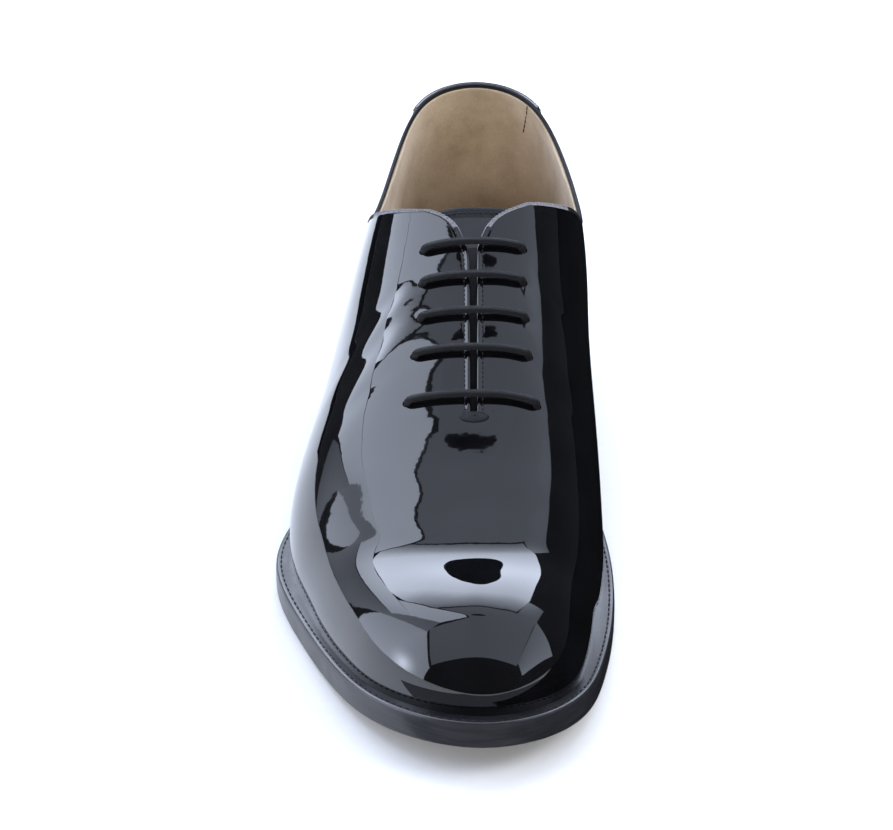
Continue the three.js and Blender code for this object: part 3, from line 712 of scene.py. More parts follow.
def upper_relief(rows, angle):
    """Depth below the plain form: folded facings, stitch channels, eyelet rims and dents."""
    x, d = place_on_plan(form_point(U[None, :], angle))
    sink = sunk(rows, angle)
    slit = smooth(*FACING_BEGINS, d) * (1 - smooth(*FACING_ENDS, d)) * OPEN[None, :]
    depth = -FOLD_RISE * slit * (1 - smooth(*FACING_FOLD, rows))
    channel = np.exp(-(((rows - STITCH_LINE) / CHANNEL_WIDTH) ** 2))
    depth += CHANNEL_DEPTH * channel * slit
    rim = OPEN[None, :] * (1 - slit)
    depth -= RIM_RISE * rim * (1 - smooth(*RIM_FADE, rows))
    for along, outer, inner in LACE_ROWS:
        for place in (-outer * BALL_WIDTH, inner * BALL_WIDTH):
            away = np.hypot(x - place, d - along * FORM_LENGTH)
            depth += DIMPLE_DEPTH * np.exp(-((away / DIMPLE_RADIUS) ** 2))
    for dent_x, dent_d, length, width, turn, deep in DENTS:
        c = math.cos(math.radians(turn))
        s = math.sin(math.radians(turn))
        long_way = ((x - dent_x) * c + (d - dent_d) * s) / length
        short_way = ((d - dent_d) * c - (x - dent_x) * s) / width
        depth += deep * np.exp(-(long_way**2) - short_way**2)
    return depth + sink


def sunk(rows, angle):
    """Depth of the toe break, which the whole wall follows."""
    x, d = place_on_plan(form_point(U[None, :], angle))
    d = d + BREAK_BEND * x**2
    inside = (d > TOE_BREAK[0][0] * FORM_LENGTH) & (d < TOE_BREAK[-1][0] * FORM_LENGTH)
    return np.where(inside, break_depth(d), 0) * np.exp(-((x / BREAK_WIDTH) ** 2))


def heel_grip(down, away):
    """Height of the thin heel grip that lies over the lining round the back."""
    return GRIP_HEIGHT * (1 - smooth(*GRIP_ENDS, away)) * smooth(*GRIP_TOP, down + GRIP_SWEEP * away**2)


def lining_relief(rows, angle):
    return sunk(rows, angle) + heel_grip(rows, np.minimum(U, FULL_TURN - U)[None, :])


def eyelet_drills():
    """Cylinders through the wall at each eyelet, in one mesh."""
    points = []
    faces = []
    sides = 24
    for along, outer, inner in LACE_ROWS:
        for place in (-outer * BALL_WIDTH, inner * BALL_WIDTH):
            ends = over_instep(place, along * FORM_LENGTH, np.array([-3.0 * WALL, 2.0 * WALL]))
            tube, quads = tube_mesh(ends, EYELET_RADIUS, sides)
            faces.append(quads + len(points) * len(tube))
            points.append(tube)
    mesh = mesh_of("eyelet_drills", to_frame(np.concatenate(points)), np.concatenate(faces))
    return bpy.data.objects.new("eyelet_drills", mesh)


def drill(piece, drills):
    """Cuts the drills out of a piece and keeps the result as its mesh."""
    bpy.context.collection.objects.link(drills)
    cut = piece.modifiers.new("eyelets", "BOOLEAN")
    cut.operation = "DIFFERENCE"
    cut.solver = "EXACT"
    cut.object = drills
    graph = bpy.context.evaluated_depsgraph_get()
    mesh = bpy.data.meshes.new_from_object(piece.evaluated_get(graph))
    mesh.set_sharp_from_angle(angle=math.radians(40))
    piece.modifiers.clear()
    piece.data = mesh
    bpy.context.collection.objects.unlink(drills)


# Rows of the wall's mesh, rows close to the top edge and their step, outside
SKIN_ROWS = (96, 18, 0.4)
LINING_ROWS = (60, 12, 0.6)
LINING_GAP = 0.03
# Rows that the cut edge takes up, counted from the first row of the roll
EDGE_ROWS = (-3, 7)


def build_upper():
    points, faces, level = wall_mesh(skin, Skin(SKIN), upper_relief, sunk, SKIN_ROWS, SEAT)
    looks = [PATENT, CUT, DARK_LEATHER]
    piece = add_mesh("patent_upper", points, faces, looks, ["upper"])
    # The cut edge is pale round the fronts of the quarters and dyed round the collar
    d = -points[faces].mean(1)[:, 1]
    rim = (level >= EDGE_ROWS[0]) & (level < EDGE_ROWS[1])
    marks = np.zeros(len(faces), int)
    marks[rim & (d > FRONT_START) & (d < FRONT_END)] = 1
    marks[rim & (d < FRONT_START)] = 2
    piece.data.polygons.foreach_set("material_index", marks)
    behind = Skin(SKIN + LINING_GAP)
    points, faces, _ = wall_mesh(behind, lining_skin, sunk, lining_relief, LINING_ROWS, 0, LINING_DROP)
    lining = add_mesh("quarter_lining", points, faces, [LINING])
    drills = eyelet_drills()
    drill(piece, drills)
    drill(lining, drills)


def surface_frame(u, angle, lift):
    """Points over the form with their directions out of it."""
    points = form_point(u, angle, -lift)
    out = form_point(u, angle, -lift - 0.5) - points
    return points, out / np.linalg.norm(out, axis=-1, keepdims=True)


def stitches(name, rows, material, length=1.9, pitch=2.7, width=0.55, rise=0.3):
    """Short raised stitches along each row of (points, directions out)."""
    around_steps = 8
    rings = 5
    lat = np.linspace(0, np.pi, rings + 2)[1:-1]
    lon = 2 * np.pi * np.arange(around_steps) / around_steps
    shape = np.stack([
        np.repeat(np.cos(lat), around_steps) * length / 2,
        (np.sin(lat)[:, None] ** 0.6 * np.cos(lon)).ravel() * width / 2,
        (np.sin(lat)[:, None] ** 0.6 * np.sin(lon)).ravel() * rise,
    ], -1)
    quads = ring_faces(rings, around_steps, True, True)
    points = []
    faces = []
    for path, out in rows:
        gone = np.concatenate([[0], np.linalg.norm(np.diff(path, axis=0), axis=1).cumsum()])
        spots = np.arange(pitch / 2, gone[-1], pitch)
        centre = np.stack([np.interp(spots, gone, path[:, k]) for k in range(3)], -1)
        up = np.stack([np.interp(spots, gone, out[:, k]) for k in range(3)], -1)
        t = np.stack([np.interp(spots + 0.3, gone, path[:, k]) for k in range(3)], -1) - centre
        t /= np.linalg.norm(t, axis=1, keepdims=True) + 1e-9
        b = np.cross(up, t)
        for c, tangent, side, normal in zip(centre, t, b, up):
            faces.append(quads + len(points) * len(shape))
            points.append(c + shape @ np.array([tangent, side, normal]))
    return add_mesh(name, np.concatenate(points), np.concatenate(faces), [material])


def edge_path(distance, lift, part):
    """Line over the skin at a distance from the top edge, for a run of columns."""
    distances = np.broadcast_to(distance, (1, COLUMNS))
    angle = skin.angle(distances)[0]
    points, out = surface_frame(U, angle, lift)
    order = np.concatenate([np.arange(COLUMNS // 2, COLUMNS), np.arange(COLUMNS // 2)])
    order = order[OPEN[order] & part[order]]
    return points[order], out[order]


# Where the rows of stitches begin and end along the form, and their distance from the edge
FACING_SEWN = 0.443 * FORM_LENGTH
FRONT_SEWN = 0.362 * FORM_LENGTH
COLLAR_SEWN = 0.365 * FORM_LENGTH
FRONT_LINE = 0.55
COLLAR_LINE = 1.9


def build_stitching():
    d = -form_point(U, skin.end)[:, 1]
    halves = (U < HALF_TURN, U >= HALF_TURN)
    facing = d > FACING_SEWN
    rows = [edge_path(STITCH_LINE, 0.0, facing & half) for half in halves]
    stitches("facing_stitches", rows, THREAD, 1.1, 1.7, 0.5, 0.22)
    front = (d > FRONT_SEWN) & (d < FRONT_END)
    rows = [edge_path(FRONT_LINE, RIM_RISE, front & half) for half in halves]
    stitches("quarter_edge_stitches", rows, PALE_THREAD, 0.9, 1.35, 0.6, 0.28)
    away = np.minimum(U, FULL_TURN - U)
    lift = np.where(away < COUNTER_TOP + 0.02, COUNTER_THICKNESS, RIM_RISE)
    rows = [edge_path(COLLAR_LINE, lift, d < COLLAR_SEWN)]
    stitches("collar_stitches", rows, THREAD, 1.3, 1.9, 0.5, 0.2)


# Short upright seam of the lining at the inner side of the heel: its way round and down
SEAM_ROUND = (18.92, 19.12)
SEAM_DOWN = (0.6, 14.0)


def build_lining_seam():
    steps = 24
    u = np.linspace(*SEAM_ROUND, steps)
    down = np.linspace(*SEAM_DOWN, steps)
    angles = lining_skin.angle(np.repeat(down[:, None], COLUMNS, 1))
    columns = np.arange(COLUMNS) / COLUMNS_PER_SECTION
    angle = np.array([np.interp(place, columns, row) for place, row in zip(u, angles)])
    inset = WALL + heel_grip(down, FULL_TURN - u)
    path = form_point(u, angle, inset)
    inwards = form_point(u, angle, inset + 0.5) - path
    inwards /= np.linalg.norm(inwards, axis=1, keepdims=True)
    stitches("lining_seam", [(path, inwards)], BROWN_THREAD, 2.2, 2.3, 0.55, 0.25)


# Bar of stitches at the end of the throat: its place, half length, half width and height
TACK_PLACE = 0.6665 * FORM_LENGTH
TACK_ACROSS = 4.6
TACK_ALONG = 1.9
TACK_RISE = 0.75


def build_tack():
    """Small oval bar of dense stitches that closes the end of the throat."""
    middle = (THROAT_X + FACING_GAP) / 2
    rings = 10
    columns = 36
    share = np.linspace(0.05, 1, rings)[:, None]
    turn = 2 * np.pi * np.arange(columns)[None, :] / columns
    x = middle + TACK_ACROSS * share * np.cos(turn)
    along = TACK_PLACE + TACK_ALONG * share * np.sin(turn)
    ribs = 0.12 * np.cos(x * 9) * (1 - share)
    top = over_instep(x, along, TACK_RISE * np.sqrt(np.maximum(1 - share**2, 0)) + ribs)
    low = over_instep(x, along, np.full_like(x, -0.4))
    points = np.concatenate([top[::-1], low]).reshape(-1, 3)
    faces = ring_faces(2 * rings, columns, True, True)
    add_mesh("throat_tack", points, faces, [THREAD])


# Counter: width of one section of the form at the heel, its edge's rounding, and its two rows of
# stitches, which lie in grooves
SECTION_WIDTH = 30
COUNTER_ROUND = 1.1
COUNTER_LINES = (3.2, 5.6)
GROOVE_WIDTH = 0.4
GROOVE_DEPTH = 0.12


def counter_end(u, side):
    """Angle of the upper's top edge at a place round the heel, for one side."""
    end = skin.end if side > 0 else skin.end[MIRROR]
    return np.interp(np.abs(u), U[:COLUMNS // 2], end[:COLUMNS // 2])


def build_counter():
    """Overlay round the heel whose edges round off onto the upper."""
    across = 161
    rises = 60
    share = np.linspace(-1, 1, across)[:, None]
    rise = np.linspace(0, 1, rises)[None, :]
    u = share * (COUNTER_FOOT + (COUNTER_TOP - COUNTER_FOOT) * rise)
    angle = np.where(u < 0, counter_end(u, -1), counter_end(u, 1)) * rise
    around_u = np.mod(u, FULL_TURN)
    base = form_point(around_u, angle)
    to_side = (1 - np.abs(share)) * COUNTER_FOOT * SECTION_WIDTH
    to_top = np.linalg.norm(base - base[:, -1:, :], axis=2)
    short = 1 - np.clip(np.minimum(to_side, to_top) / COUNTER_ROUND, 0, 1)
    thick = COUNTER_THICKNESS * np.sqrt(np.clip(1 - short**2, 0, 1))
    groove = sum(np.exp(-(((to_side - line) / GROOVE_WIDTH) ** 2)) for line in COUNTER_LINES)
    top = form_point(around_u, angle, -(thick - GROOVE_DEPTH * groove) - 0.02)
    low = form_point(around_u, angle, 0.1)
    points = np.concatenate([top.reshape(-1, 3), low.reshape(-1, 3)])
    add_mesh("counter_overlay", points, plate_faces(across, rises), [PATENT],
             ["heel_counter"])
    rows = []
    for inset in COUNTER_LINES:
        for side in (-1, 1):
            s = side * (1 - inset / (COUNTER_FOOT * SECTION_WIDTH))
            r = np.linspace(0.05, 0.97, 80)
            line = s * (COUNTER_FOOT + (COUNTER_TOP - COUNTER_FOOT) * r)
            angle = counter_end(line, side) * r
            rows.append(surface_frame(np.mod(line, FULL_TURN), angle, COUNTER_THICKNESS - 0.1))
    stitches("counter_stitches", rows, THREAD, 1.3, 1.9, 0.5, 0.25)


UNDER_LACE = WALL + LACE_CLEARANCE + LACE_DIAMETER / 2
LACE_ROOM = UNDER_LACE + LACE_DIAMETER / 2 + LACE_CLEARANCE
TONGUE_SEWN = WALL + SEAT


def build_tongue():
    half_at = curve(TONGUE, BALL_WIDTH)
    start = TONGUE[0][0] * FORM_LENGTH
    end = TONGUE[-1][0] * FORM_LENGTH
    rows = 120
    columns = 49
    share = np.linspace(0, 1, rows) ** 1.25
    d = (start + (end - start) * share)[:, None]
    ds = np.array([r[0] for r in TONGUE]) * FORM_LENGTH
    half = np.interp(d, ds, [r[1] * BALL_WIDTH for r in TONGUE])
    deep = np.interp(d, ds, [r[2] for r in TONGUE])
    across = np.sin(np.linspace(-np.pi / 2, np.pi / 2, columns))[None, :]
    x = across * half + THROAT_X
    to_edge = np.minimum((1 - np.abs(across)) * half, d - start + 0 * across)
    radius = TONGUE_THICKNESS / 2
    full = np.sqrt(np.clip(1 - (1 - np.clip(to_edge / radius, 0, 1)) ** 2, 0, 1))
    middle = -(TONGUE_SEWN + (LACE_ROOM - TONGUE_SEWN) * deep) - radius
    top = over_instep(x, d, middle + radius * full)
    low = over_instep(x, d, middle - radius * full - 0.02)
    points = np.concatenate([top.reshape(-1, 3), low.reshape(-1, 3)])
    faces = plate_faces(rows, columns)
    looks = [TONGUE_PATENT, DARK_LEATHER]
    piece = add_mesh("tongue_leather", points, faces, looks, ["tongue"])
    # The end under the throat and the strip under the slit are not lacquered
    middle_x, middle_d = place_on_plan(points[faces].mean(1))
    under_slit = (np.abs(middle_x - THROAT_X) < 3) & (middle_d > 0.452 * FORM_LENGTH)
    marks = (under_slit | (middle_d < start + 0.9)).astype(int)
    piece.data.polygons.foreach_set("material_index", marks)
    sewn = np.linspace(-0.85, 0.85, 60) * half_at(start + 3.0) + THROAT_X
    path = over_instep(sewn, start + 2.2, middle[0, 0] + radius)
    up = over_instep(sewn, start + 2.2, middle[0, 0] + radius + 1) - path
    stitches("tongue_stitches", [(path, up)], THREAD, 1.1, 1.7, 0.5, 0.22)


# Insole: rings of its rounded edge, each with how much it is drawn in and its height
INSOLE_EDGE = [(0, 0), (0.15, 0.5), (0.15, 2.2), (0.35, 2.75), (0.8, 2.97),
               (1.4, INSOLE_THICKNESS)]


def build_insole():
    rings = []
    for change, height in INSOLE_EDGE:
        inset = WALL + SEAT + change

        def below(angle, inset=inset, height=height):
            points = form_point(U, angle, inset)
            return points[:, 2] - feather(-points[:, 1]) < height

        angle = halve(np.zeros(COLUMNS), np.full(COLUMNS, np.pi / 2), below)
        rings.append(form_point(U, angle, inset))
    rim = rings[-1]
    centre = (rim + rim[MIRROR]) / 2
    for share in (0.85, 0.65, 0.45, 0.25):
        ring = centre + (rim - centre) * share
        ring[:, 2] -= 0.9 * (1 - share**2)
        rings.append(ring)
    faces = ring_faces(len(rings), COLUMNS, True, True)
    add_mesh("sock_leather", np.concatenate(rings), faces, [SOCK], ["insole"])


# Sole
def sole_rings(profile):
    return np.concatenate([sole_point(U, reach_at(U) + change, up) for change, up in profile])


def build_sole():
    bevel = OUTSOLE_THICKNESS / 6
    channel = -8.0
    flush = WELT_UNDER - 0.02
    within = -WELT_WIDTH - SEAT
    profile = [
        (channel - 1.2, 0.0), (channel - 0.75, 0.02), (channel - 0.6, 0.22), (channel - 0.4, 0.22),
        (channel - 0.25, 0.02), (channel, 0.0), (-bevel - 0.3, 0.0), (-bevel, 0.03),
        (-bevel * 0.45, 0.22), (-bevel * 0.12, 0.6), (0.0, bevel + 0.2), (0.1, 2.2), (0.16, 3.6),
        (0.17, 5.0), (0.17, flush), (-0.4, flush), (within, flush), (within, WELT_TOP),
        (within - 0.3, WELT_TOP),
    ]
    faces = ring_faces(len(profile), COLUMNS, True, True)
    points = sole_rings(profile)
    piece = add_mesh("sole_leather", points, faces, [EDGE, BOTTOM], ["outsole"], 40)
    # The underside up to the bevel and its cap have the look of the sole's bottom
    marks = np.zeros(len(faces), int)
    marks[:7 * COLUMNS] = 1
    cap = (len(profile) - 1) * COLUMNS
    marks[cap:cap + COLUMNS // 2] = 1
    piece.data.polygons.foreach_set("material_index", marks)
    profile = [
        (-WELT_WIDTH, WELT_UNDER), (-0.4, WELT_UNDER), (0.17, WELT_UNDER), (0.17, WELT_UNDER + 0.5),
        (0.13, 7.4), (0.04, 8.4), (-0.12, 8.85), (-0.42, 9.12), (-0.85, WELT_TOP), (-1.5, WELT_TOP),
        (-WELT_WIDTH, WELT_TOP), (-WELT_WIDTH, WELT_UNDER),
    ]
    faces = grid_faces(len(profile), COLUMNS, True)
    add_mesh("welt_strip", sole_rings(profile), faces, [EDGE], ["welt"], 40)
    part = (U > 2.9) & (U < FULL_TURN - 2.9)
    path = sole_point(U, reach_at(U) - 1.5, WELT_TOP + 0.02)[part]
    up = np.zeros_like(path)
    up[:, 2] = 1
    stitches("welt_stitches", [(path, up)], THREAD, 2.0, 2.8, 0.6, 0.28)


# Place round the sole where the heel's breast meets its edge
HEEL_FRONT = float(halve(np.array(0.0), np.array(HALF_TURN * 1.0),
                         lambda m: along_at(m) < HEEL_END * FORM_LENGTH))


def heel_ring(change, height):
    """Ring round the heel: the outer arc, the straight breast and the inner arc."""
    arc = HEEL_FRONT * np.linspace(0, 1, 90)
    outer = sole_point(arc, reach_at(arc) + change, 0)
    back = FULL_TURN - arc[::-1]
    inner = sole_point(back, reach_at(back) + change, 0)
    breast = np.linspace(outer[-1], inner[0], 24)[1:-1]
    ring = np.concatenate([outer, breast, inner[:-1]])
    ring[:, 2] = height(-ring[:, 1])
    return ring


def heel_inset(z):
    return -HEEL_TAPER * (HEEL_LIFT - z) - OUTSOLE_THICKNESS / 12


def heel_piece(name, rings, look, node):
    faces = ring_faces(len(rings), len(rings[0]), True, True)
    add_mesh(name, np.concatenate(rings), faces, [look], [node], 40)


def build_heel():
    low = TOP_LIFT_THICKNESS + 0.02
    rings = []
    lifts = 4
    # Each lift is a share of the height between the top lift and the sole, with a fine groove
    for lift in range(lifts):
        for part, groove in ((0.0, -0.12), (0.04, 0.0), (0.5, 0.05), (0.96, 0.0)):
            share = (lift + part) / lifts

            def height(d, share=share):
                return low + (sole_under(d) - 0.02 - low) * share

            rings.append(heel_ring(heel_inset(low + (HEEL_LIFT - low) * share) + groove, height))
    rings.append(heel_ring(heel_inset(HEEL_LIFT), lambda d: sole_under(d) - 0.02))
    heel_piece("heel_lifts", rings, LIFTS, "heel_stack")
    profile = [(-1.3, 0.0), (-0.9, 0.04), (-0.35, 0.3), (0.0, 0.9), (0.05, 3.0), (0.05, 5.4),
               (-0.1, 5.9), (-0.3, TOP_LIFT_THICKNESS)]
    rings = [heel_ring(heel_inset(z) + change, lambda d, z=z: z + 0 * d) for change, z in profile]
    heel_piece("top_lift", rings, RUBBER, "heel_top_lift")


# Lace: bars over the throat joined by runs under the facings, as the construction has it
OUTER = -1
INNER = 1
LACE_WAY = [(2, OUTER, 4, 3, -1), (4, INNER, 5, 0, 0), (5, OUTER, 3, 4, 1), (3, INNER, 1, 2, 1),
            (1, OUTER, 0, 0, 0)]
BEND_OVER = [(0.35, 0.55), (1, 0.98)]
BEND_UNDER = [(0.5, 0.86), (1.3, 1)]
BAR_ARCH = [(0.25, 0.6), (0.5, 0.9), (0.75, 0.6)]
PASSING = 1.45
OVER_LACE = LACE_CLEARANCE + LACE_DIAMETER / 2
TURNING = UNDER_LACE / 2


def eyelet_place(row, side):
    along, outer, inner = LACE_ROWS[row - 1]
    return np.array([(-outer if side == OUTER else inner) * BALL_WIDTH, along * FORM_LENGTH])


def bar(row, side):
    start = eyelet_place(row, side)
    end = eyelet_place(row, -side)
    span = end[0] - start[0]
    spots = [(*start, -WALL / 2)]
    spots += [(start[0] - side * g * TURNING, start[1], up * OVER_LACE) for g, up in BEND_OVER]
    spots += [(start[0] + span * a, start[1], OVER_LACE + e * LACE_CLEARANCE) for a, e in BAR_ARCH]
    spots += [(end[0] + side * g * TURNING, end[1], up * OVER_LACE) for g, up in reversed(BEND_OVER)]
    return spots + [(*end, -WALL / 2)]


def run_under(row, to, side, skips, aside):
    start = eyelet_place(row, side)
    end = eyelet_place(to, side)
    way = np.sign(end[1] - start[1])
    spots = [(start[0], start[1] + way * g * TURNING, -up * UNDER_LACE) for g, up in BEND_UNDER]
    if skips:
        x, d = eyelet_place(skips, side)
        spots.append((x - side * aside * PASSING * LACE_DIAMETER, d, -UNDER_LACE))
    for g, up in reversed(BEND_UNDER):
        spots.append((end[0], end[1] - way * g * TURNING, -up * UNDER_LACE))
    return spots


def lace_points():
    near, far = BEND_UNDER
    first = eyelet_place(1, OUTER)
    second = eyelet_place(2, OUTER)
    spots = [(first[0], first[1] + LACE_DIAMETER + LACE_CLEARANCE, -UNDER_LACE)]
    spots.append((second[0], second[1] - far[0] * TURNING, -UNDER_LACE))
    spots.append((second[0], second[1] - near[0] * TURNING, -near[1] * UNDER_LACE))
    for row, side, to, skips, aside in LACE_WAY:
        spots += bar(row, side)
        if to:
            spots += run_under(row, to, -side, skips, aside)
    last = eyelet_place(1, INNER)
    spots.append((last[0], last[1] + near[0] * TURNING, -near[1] * UNDER_LACE))
    spots.append((last[0], last[1] + LACE_DIAMETER + far[0] * TURNING, -UNDER_LACE))
    spots = np.array(spots)
    return over_instep(spots[:, 0], spots[:, 1], spots[:, 2])


def through(points, steps):
    """Smooth line through points, with the centripetal rule, steps to each stretch."""
    ends = np.concatenate([[2 * points[0] - points[1]], points, [2 * points[-1] - points[-2]]])
    line = []
    for p0, p1, p2, p3 in zip(ends[:-3], ends[1:-2], ends[2:-1], ends[3:]):
        pairs = ((p0, p1), (p1, p2), (p2, p3))
        t0, t1, t2 = (max(np.linalg.norm(b - a) ** 0.5, 1e-4) for a, b in pairs)
        m1 = ((p1 - p0) / t0 - (p2 - p0) / (t0 + t1) + (p2 - p1) / t1) * t1
        m2 = ((p2 - p1) / t1 - (p3 - p1) / (t1 + t2) + (p3 - p2) / t2) * t1
        square = 3 * (p2 - p1) - 2 * m1 - m2
        cube = 2 * (p1 - p2) + m1 + m2
        for t in np.arange(steps) / steps:
            line.append(p1 + m1 * t + square * t**2 + cube * t**3)
    return np.array(line + [points[-1]])


def build_lace():
    line = through(lace_points(), 12)
    sides = 20
    points, faces = tube_mesh(line, LACE_DIAMETER / 2, sides)
    piece = add_mesh("lace_cord", points, faces, [CORD], ["lace"])
    gone = np.concatenate([[0], np.linalg.norm(np.diff(line, axis=0), axis=1).cumsum()])
    caps = len(END_ROUND)
    gone = np.concatenate([[gone[0]] * caps, gone, [gone[-1]] * caps])
    layer = piece.data.uv_layers.new(name="braid")
    corner = np.zeros(len(piece.data.loops), int)
    piece.data.loops.foreach_get("vertex_index", corner)
    spot = np.stack([(corner % sides) / sides * 4, gone[corner // sides] / 2.2], -1)
    starts = [p.loop_start for p in piece.data.polygons]
    first = np.repeat(starts, [p.loop_total for p in piece.data.polygons])
    lap = (spot[:, 0] < 2) & (np.abs(spot[first, 0] - spot[:, 0]) > 2)
    spot[lap, 0] += 4
    layer.data.foreach_set("uv", spot.ravel().astype(np.float32))


build_upper()
build_stitching()
build_lining_seam()
build_tack()
build_counter()
build_tongue()
build_insole()
build_sole()
build_heel()
build_lace()

# Camera: the photograph's angle, 30 degrees above the floor and straight onto the toe
PHOTO_WIDTH = 893
PHOTO_SCALE = 2.225
DISTANCE = 1400
ZOOM = 1.4
LOOK_AT = (0, -145, 40)
ELEVATION = 30
SHIFT_RIGHT = -20.8
SHIFT_UP = -3.5


def build_camera():
    data = bpy.data.cameras.new("camera")
    data.sensor_width = 36
    data.lens = DISTANCE * PHOTO_SCALE / PHOTO_WIDTH * data.sensor_width * ZOOM
    data.shift_x = SHIFT_RIGHT * ZOOM / PHOTO_WIDTH
    data.shift_y = SHIFT_UP * ZOOM / PHOTO_WIDTH
    data.clip_start = 0.05
    data.clip_end = 50
    camera = bpy.data.objects.new("camera", data)
    bpy.context.collection.objects.link(camera)
    rise = math.radians(ELEVATION)
    back = Vector((0, -math.cos(rise), math.sin(rise)))
    camera.location = Vector(to_frame(LOOK_AT)) + back * DISTANCE * MM
    camera.rotation_mode = "QUATERNION"
    camera.rotation_quaternion = (-back).to_track_quat("-Z", "Y")
    bpy.context.scene.camera = camera


# Studio: a dome of soft cards. A place on it is given in degrees from straight up, towards the
# inner side of the shoe and towards its back
DOME_RADIUS = 2.4
DOME_MIDDLE = (0, -0.06, 0.05)
CARD_STEPS = 12
# Each card's four corners and the glow at each
CARDS = [
    ([(-12, -34), (48, -34), (48, 8), (-9, 8)], [0.72, 0.8, 0.74, 0.68]),
    ([(-9, 8), (48, 8), (49, 17), (-26, 17)], [0.68, 0.74, 0.78, 0.78]),
    ([(-58, -34), (-12, -34), (-9, 6.5), (-40, 0)], [0.68, 0.72, 0.74, 0.74]),
    ([(31, 17), (49, 17), (51, 31), (36, 30)], [0.78, 0.74, 0.74, 1.7]),
    ([(48, -30), (62, -42), (82, 4), (49, 17)], [0.9, 1.7, 1.4, 0.95]),
    ([(-28, 18), (30, 18), (34, 25), (-42, 26)], [1.05, 0.95, 2.2, 2.7]),
    ([(-42, 26), (34, 25), (37, 32), (-47, 33)], [2.7, 2.2, 4.1, 5.1]),
    ([(-47, 33), (37, 32), (36, 64), (-40, 62)], [5.1, 4.1, 5.2, 6.4]),
    ([(-31, 4), (-11, 7), (-12, 9), (-31, 18.5)], [2.6, 2.6, 2.7, 2.8]),
    ([(-46, 14), (-31, 4), (-31, 18.5), (-46, 28)], [2.7, 2.6, 2.8, 2.9]),
    ([(-57, 21), (-46, 14), (-47, 52), (-60, 42)], [2.2, 2.5, 3.9, 2.7]),
    ([(-84, -46), (-62, -36), (-43, -2), (-93, -6)], [2.0, 2.0, 2.2, 2.9]),
    ([(-93, -6), (-43, -2), (-65, 27), (-87, 41)], [2.9, 2.2, 1.9, 1.9]),
    ([(-65, 27), (-57, 21), (-62, 47), (-84, 46)], [0.9, 0.8, 0.3, 0.5]),
    ([(-43, -2), (-31, 4), (-46, 14), (-65, 27)], [0.95, 0.75, 0.95, 0.9]),
]
# Round dark screens before the cards
SCREENS = [(1, 48.5, 11, 8.5), (0, 9, 7, 0.8)]
# A rounder spot of light in the left card: place, half width in degrees and added glow
SPOT = (-84, -17, 9, 4.4)


def dome_point(across, back, reach=1.0):
    lean = np.radians(np.hypot(across, back))
    turn = np.arctan2(back, across)
    out = np.stack([np.sin(lean) * np.cos(turn), np.sin(lean) * np.sin(turn), np.cos(lean)], -1)
    return out * DOME_RADIUS * reach + np.array(DOME_MIDDLE)


def over_corners(corners, u, v):
    """Values between four corners, the first two at v = 0."""
    a, b, c, d = corners
    return (a * (1 - u) + b * u) * (1 - v) + (d * (1 - u) + c * u) * v


def card(name, corners, material, glow=None, reach=1.0, round_shape=False):
    """A sheet on the dome that only lights the shoe and shows in its gloss."""
    u, v = np.meshgrid(np.linspace(0, 1, CARD_STEPS), np.linspace(0, 1, CARD_STEPS))
    if round_shape:
        x, y = 2 * u - 1, 2 * v - 1
        u, v = (1 + x * np.sqrt(1 - y**2 / 2)) / 2, (1 + y * np.sqrt(1 - x**2 / 2)) / 2
    across = over_corners([c[0] for c in corners], u, v)
    back = over_corners([c[1] for c in corners], u, v)
    mesh = bpy.data.meshes.new(name)
    points = dome_point(across, back, reach).reshape(-1, 3)
    mesh.from_pydata(points.tolist(), [], grid_faces(CARD_STEPS, CARD_STEPS).tolist())
    if glow:
        spot = SPOT[3] * np.exp(-((across - SPOT[0]) ** 2 + (back - SPOT[1]) ** 2) / SPOT[2] ** 2)
        layer = mesh.attributes.new("glow", "FLOAT", "POINT")
        layer.data.foreach_set("value", (over_corners(glow, u, v) + spot).ravel().astype(np.float32))
    mesh.materials.append(material)
    made = bpy.data.objects.new(name, mesh)
    made.visible_camera = False
    made.visible_shadow = False
    bpy.context.collection.objects.link(made)
    return made


def area_light(name, place, size, power, colour):
    """A soft light aimed at the shoe that lights it but doesn't show in its gloss."""
    data = bpy.data.lights.new(name, "AREA")
    data.shape = "RECTANGLE"
    data.size, data.size_y = size
    data.energy = power
    data.color = colour
    lamp = bpy.data.objects.new(name, data)
    lamp.location = place
    lamp.rotation_mode = "QUATERNION"
    lamp.rotation_quaternion = (Vector((0, 0, 0.05)) - Vector(place)).to_track_quat("-Z", "Y")
    lamp.visible_glossy = False
    lamp.visible_camera = False
    bpy.context.collection.objects.link(lamp)


def card_light():
    made = bpy.data.materials.new("card_light")
    made.use_nodes = True
    nodes = made.node_tree.nodes
    nodes.remove(nodes["Principled BSDF"])
    glow = nodes.new("ShaderNodeAttribute")
    glow.attribute_name = "glow"
    light = nodes.new("ShaderNodeEmission")
    light.inputs["Color"].default_value = (0.85, 0.94, 1.14, 1)
    made.node_tree.links.new(glow.outputs["Fac"], light.inputs["Strength"])
    made.node_tree.links.new(light.outputs[0], nodes["Material Output"].inputs["Surface"])
    return made


def matte(name, colour):
    return new_material(name, Base_Color=(*colour, 1), Roughness=1.0, Specular_IOR_Level=0.0)


def plain_sheet(name, corners, height, material):
    """A level sheet at a height in metres."""
    mesh = bpy.data.meshes.new(name)
    mesh.from_pydata([(x, y, height) for x, y in corners], [], [(0, 1, 2, 3)])
    mesh.materials.append(material)
    sheet = bpy.data.objects.new(name, mesh)
    bpy.context.collection.objects.link(sheet)
    return sheet


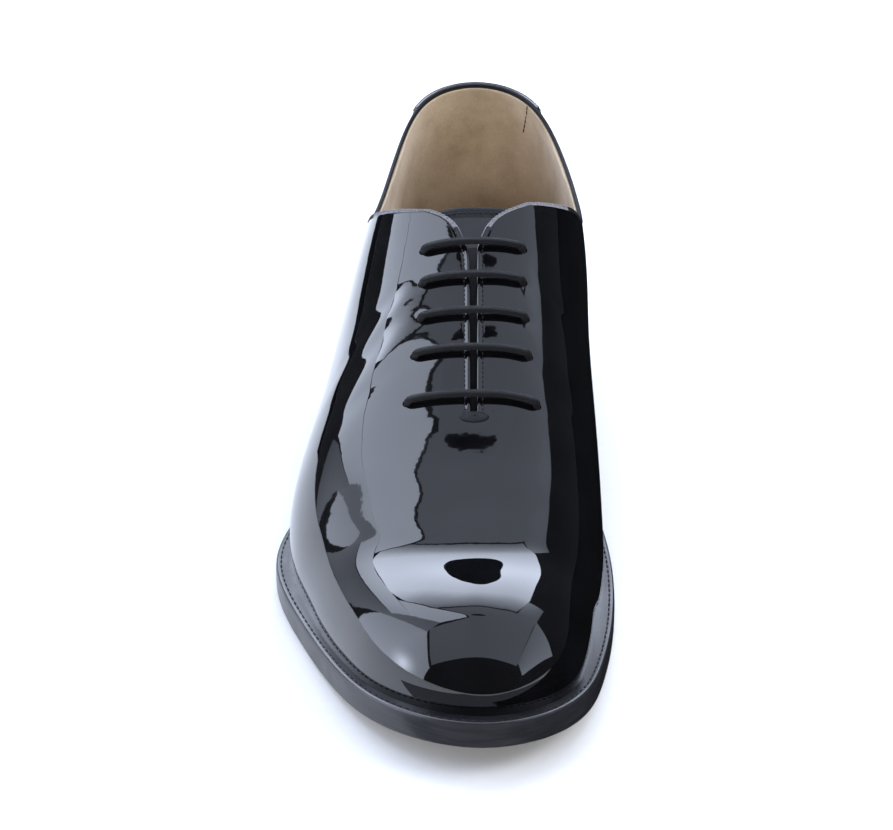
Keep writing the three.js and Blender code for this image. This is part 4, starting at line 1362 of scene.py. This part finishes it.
# Half width of the floor, and the sheets on it that show in the gloss alone, in metres: a dark flag
# at the inner side that stands in for the second shoe and in part is painted shade between the shoes,
# a grey sheet in front that is a painted shadow of the floor before the toe, and a dark one at the
# back of the outer side. A darker copy of the whole floor, seen in the gloss alone, is painted shade.
FLOOR = 4.0
FLAG = [(0.03, -0.2), (4, -0.2), (4, 4), (0.03, 4)]
PAINTED_TOE_SHADOW_CORNERS = [(-0.2, -0.6), (0.4, -0.6), (0.4, -0.14), (-0.085, -0.14)]
SIDE_FLAG = [(-0.42, 0.38), (-3.0, 2.6), (-1.7, 3.8), (-0.24, 0.52)]


def build_studio():
    paper = Weaver("white_paper", Roughness=0.9, Specular_IOR_Level=0.1)
    paper.colour(paper.noise(300, 2), (0.89, 0.89, 0.89), (0.91, 0.91, 0.91))
    whole = [(-FLOOR, -FLOOR), (FLOOR, -FLOOR), (FLOOR, FLOOR), (-FLOOR, FLOOR)]
    plain_sheet("floor", whole, 0, paper.material)
    felt = matte("black_felt", (0.004, 0.004, 0.004))
    sheets = [
        # stands in for the second shoe's dark side, and in part is painted shade of the floor between
        # the shoes
        plain_sheet("flag", FLAG, 0.002, felt),
        # painted shadow: a grey sheet that darkens the floor before the toe, seen only in reflections
        plain_sheet("painted_toe_shadow", PAINTED_TOE_SHADOW_CORNERS, 0.001, matte("painted_shadow_grey", (0.14, 0.14, 0.15))),
        # painted shade: a darker copy of the whole floor, seen only in reflections
        plain_sheet("painted_shade_floor", whole, 0.0005, matte("painted_shade_paper", (0.69, 0.695, 0.7))),
        plain_sheet("side_flag", SIDE_FLAG, 0.002, felt),
    ]
    for sheet in sheets:
        sheet.visible_camera = False
        sheet.visible_diffuse = False
        sheet.visible_shadow = False
    world = bpy.data.worlds.new("studio")
    world.use_nodes = True
    world.node_tree.nodes["Background"].inputs["Color"].default_value = (0.75, 0.8, 0.9, 1)
    world.node_tree.nodes["Background"].inputs["Strength"].default_value = 0.05
    bpy.context.scene.world = world
    light = card_light()
    for number, (corners, glow) in enumerate(CARDS, 1):
        card(f"card_{number}", corners, light, glow)
    for number, (x, y, wide, deep) in enumerate(SCREENS, 1):
        corners = [(x + a * wide, y + b * deep) for a, b in ((-1, -1), (1, -1), (1, 1), (-1, 1))]
        screen = card(f"screen_{number}", corners, felt, reach=0.97, round_shape=True)
        screen.visible_diffuse = False
    area_light("front_fill", (0.1, -2.2, 0.9), (0.7, 0.7), 27, (1, 0.97, 0.93))
    area_light("side_fill", (1.7, 0.1, 1.3), (1.2, 1.2), 22, (0.97, 0.98, 1))


build_camera()
build_studio()
bpy.context.scene.view_settings.view_transform = "Standard"
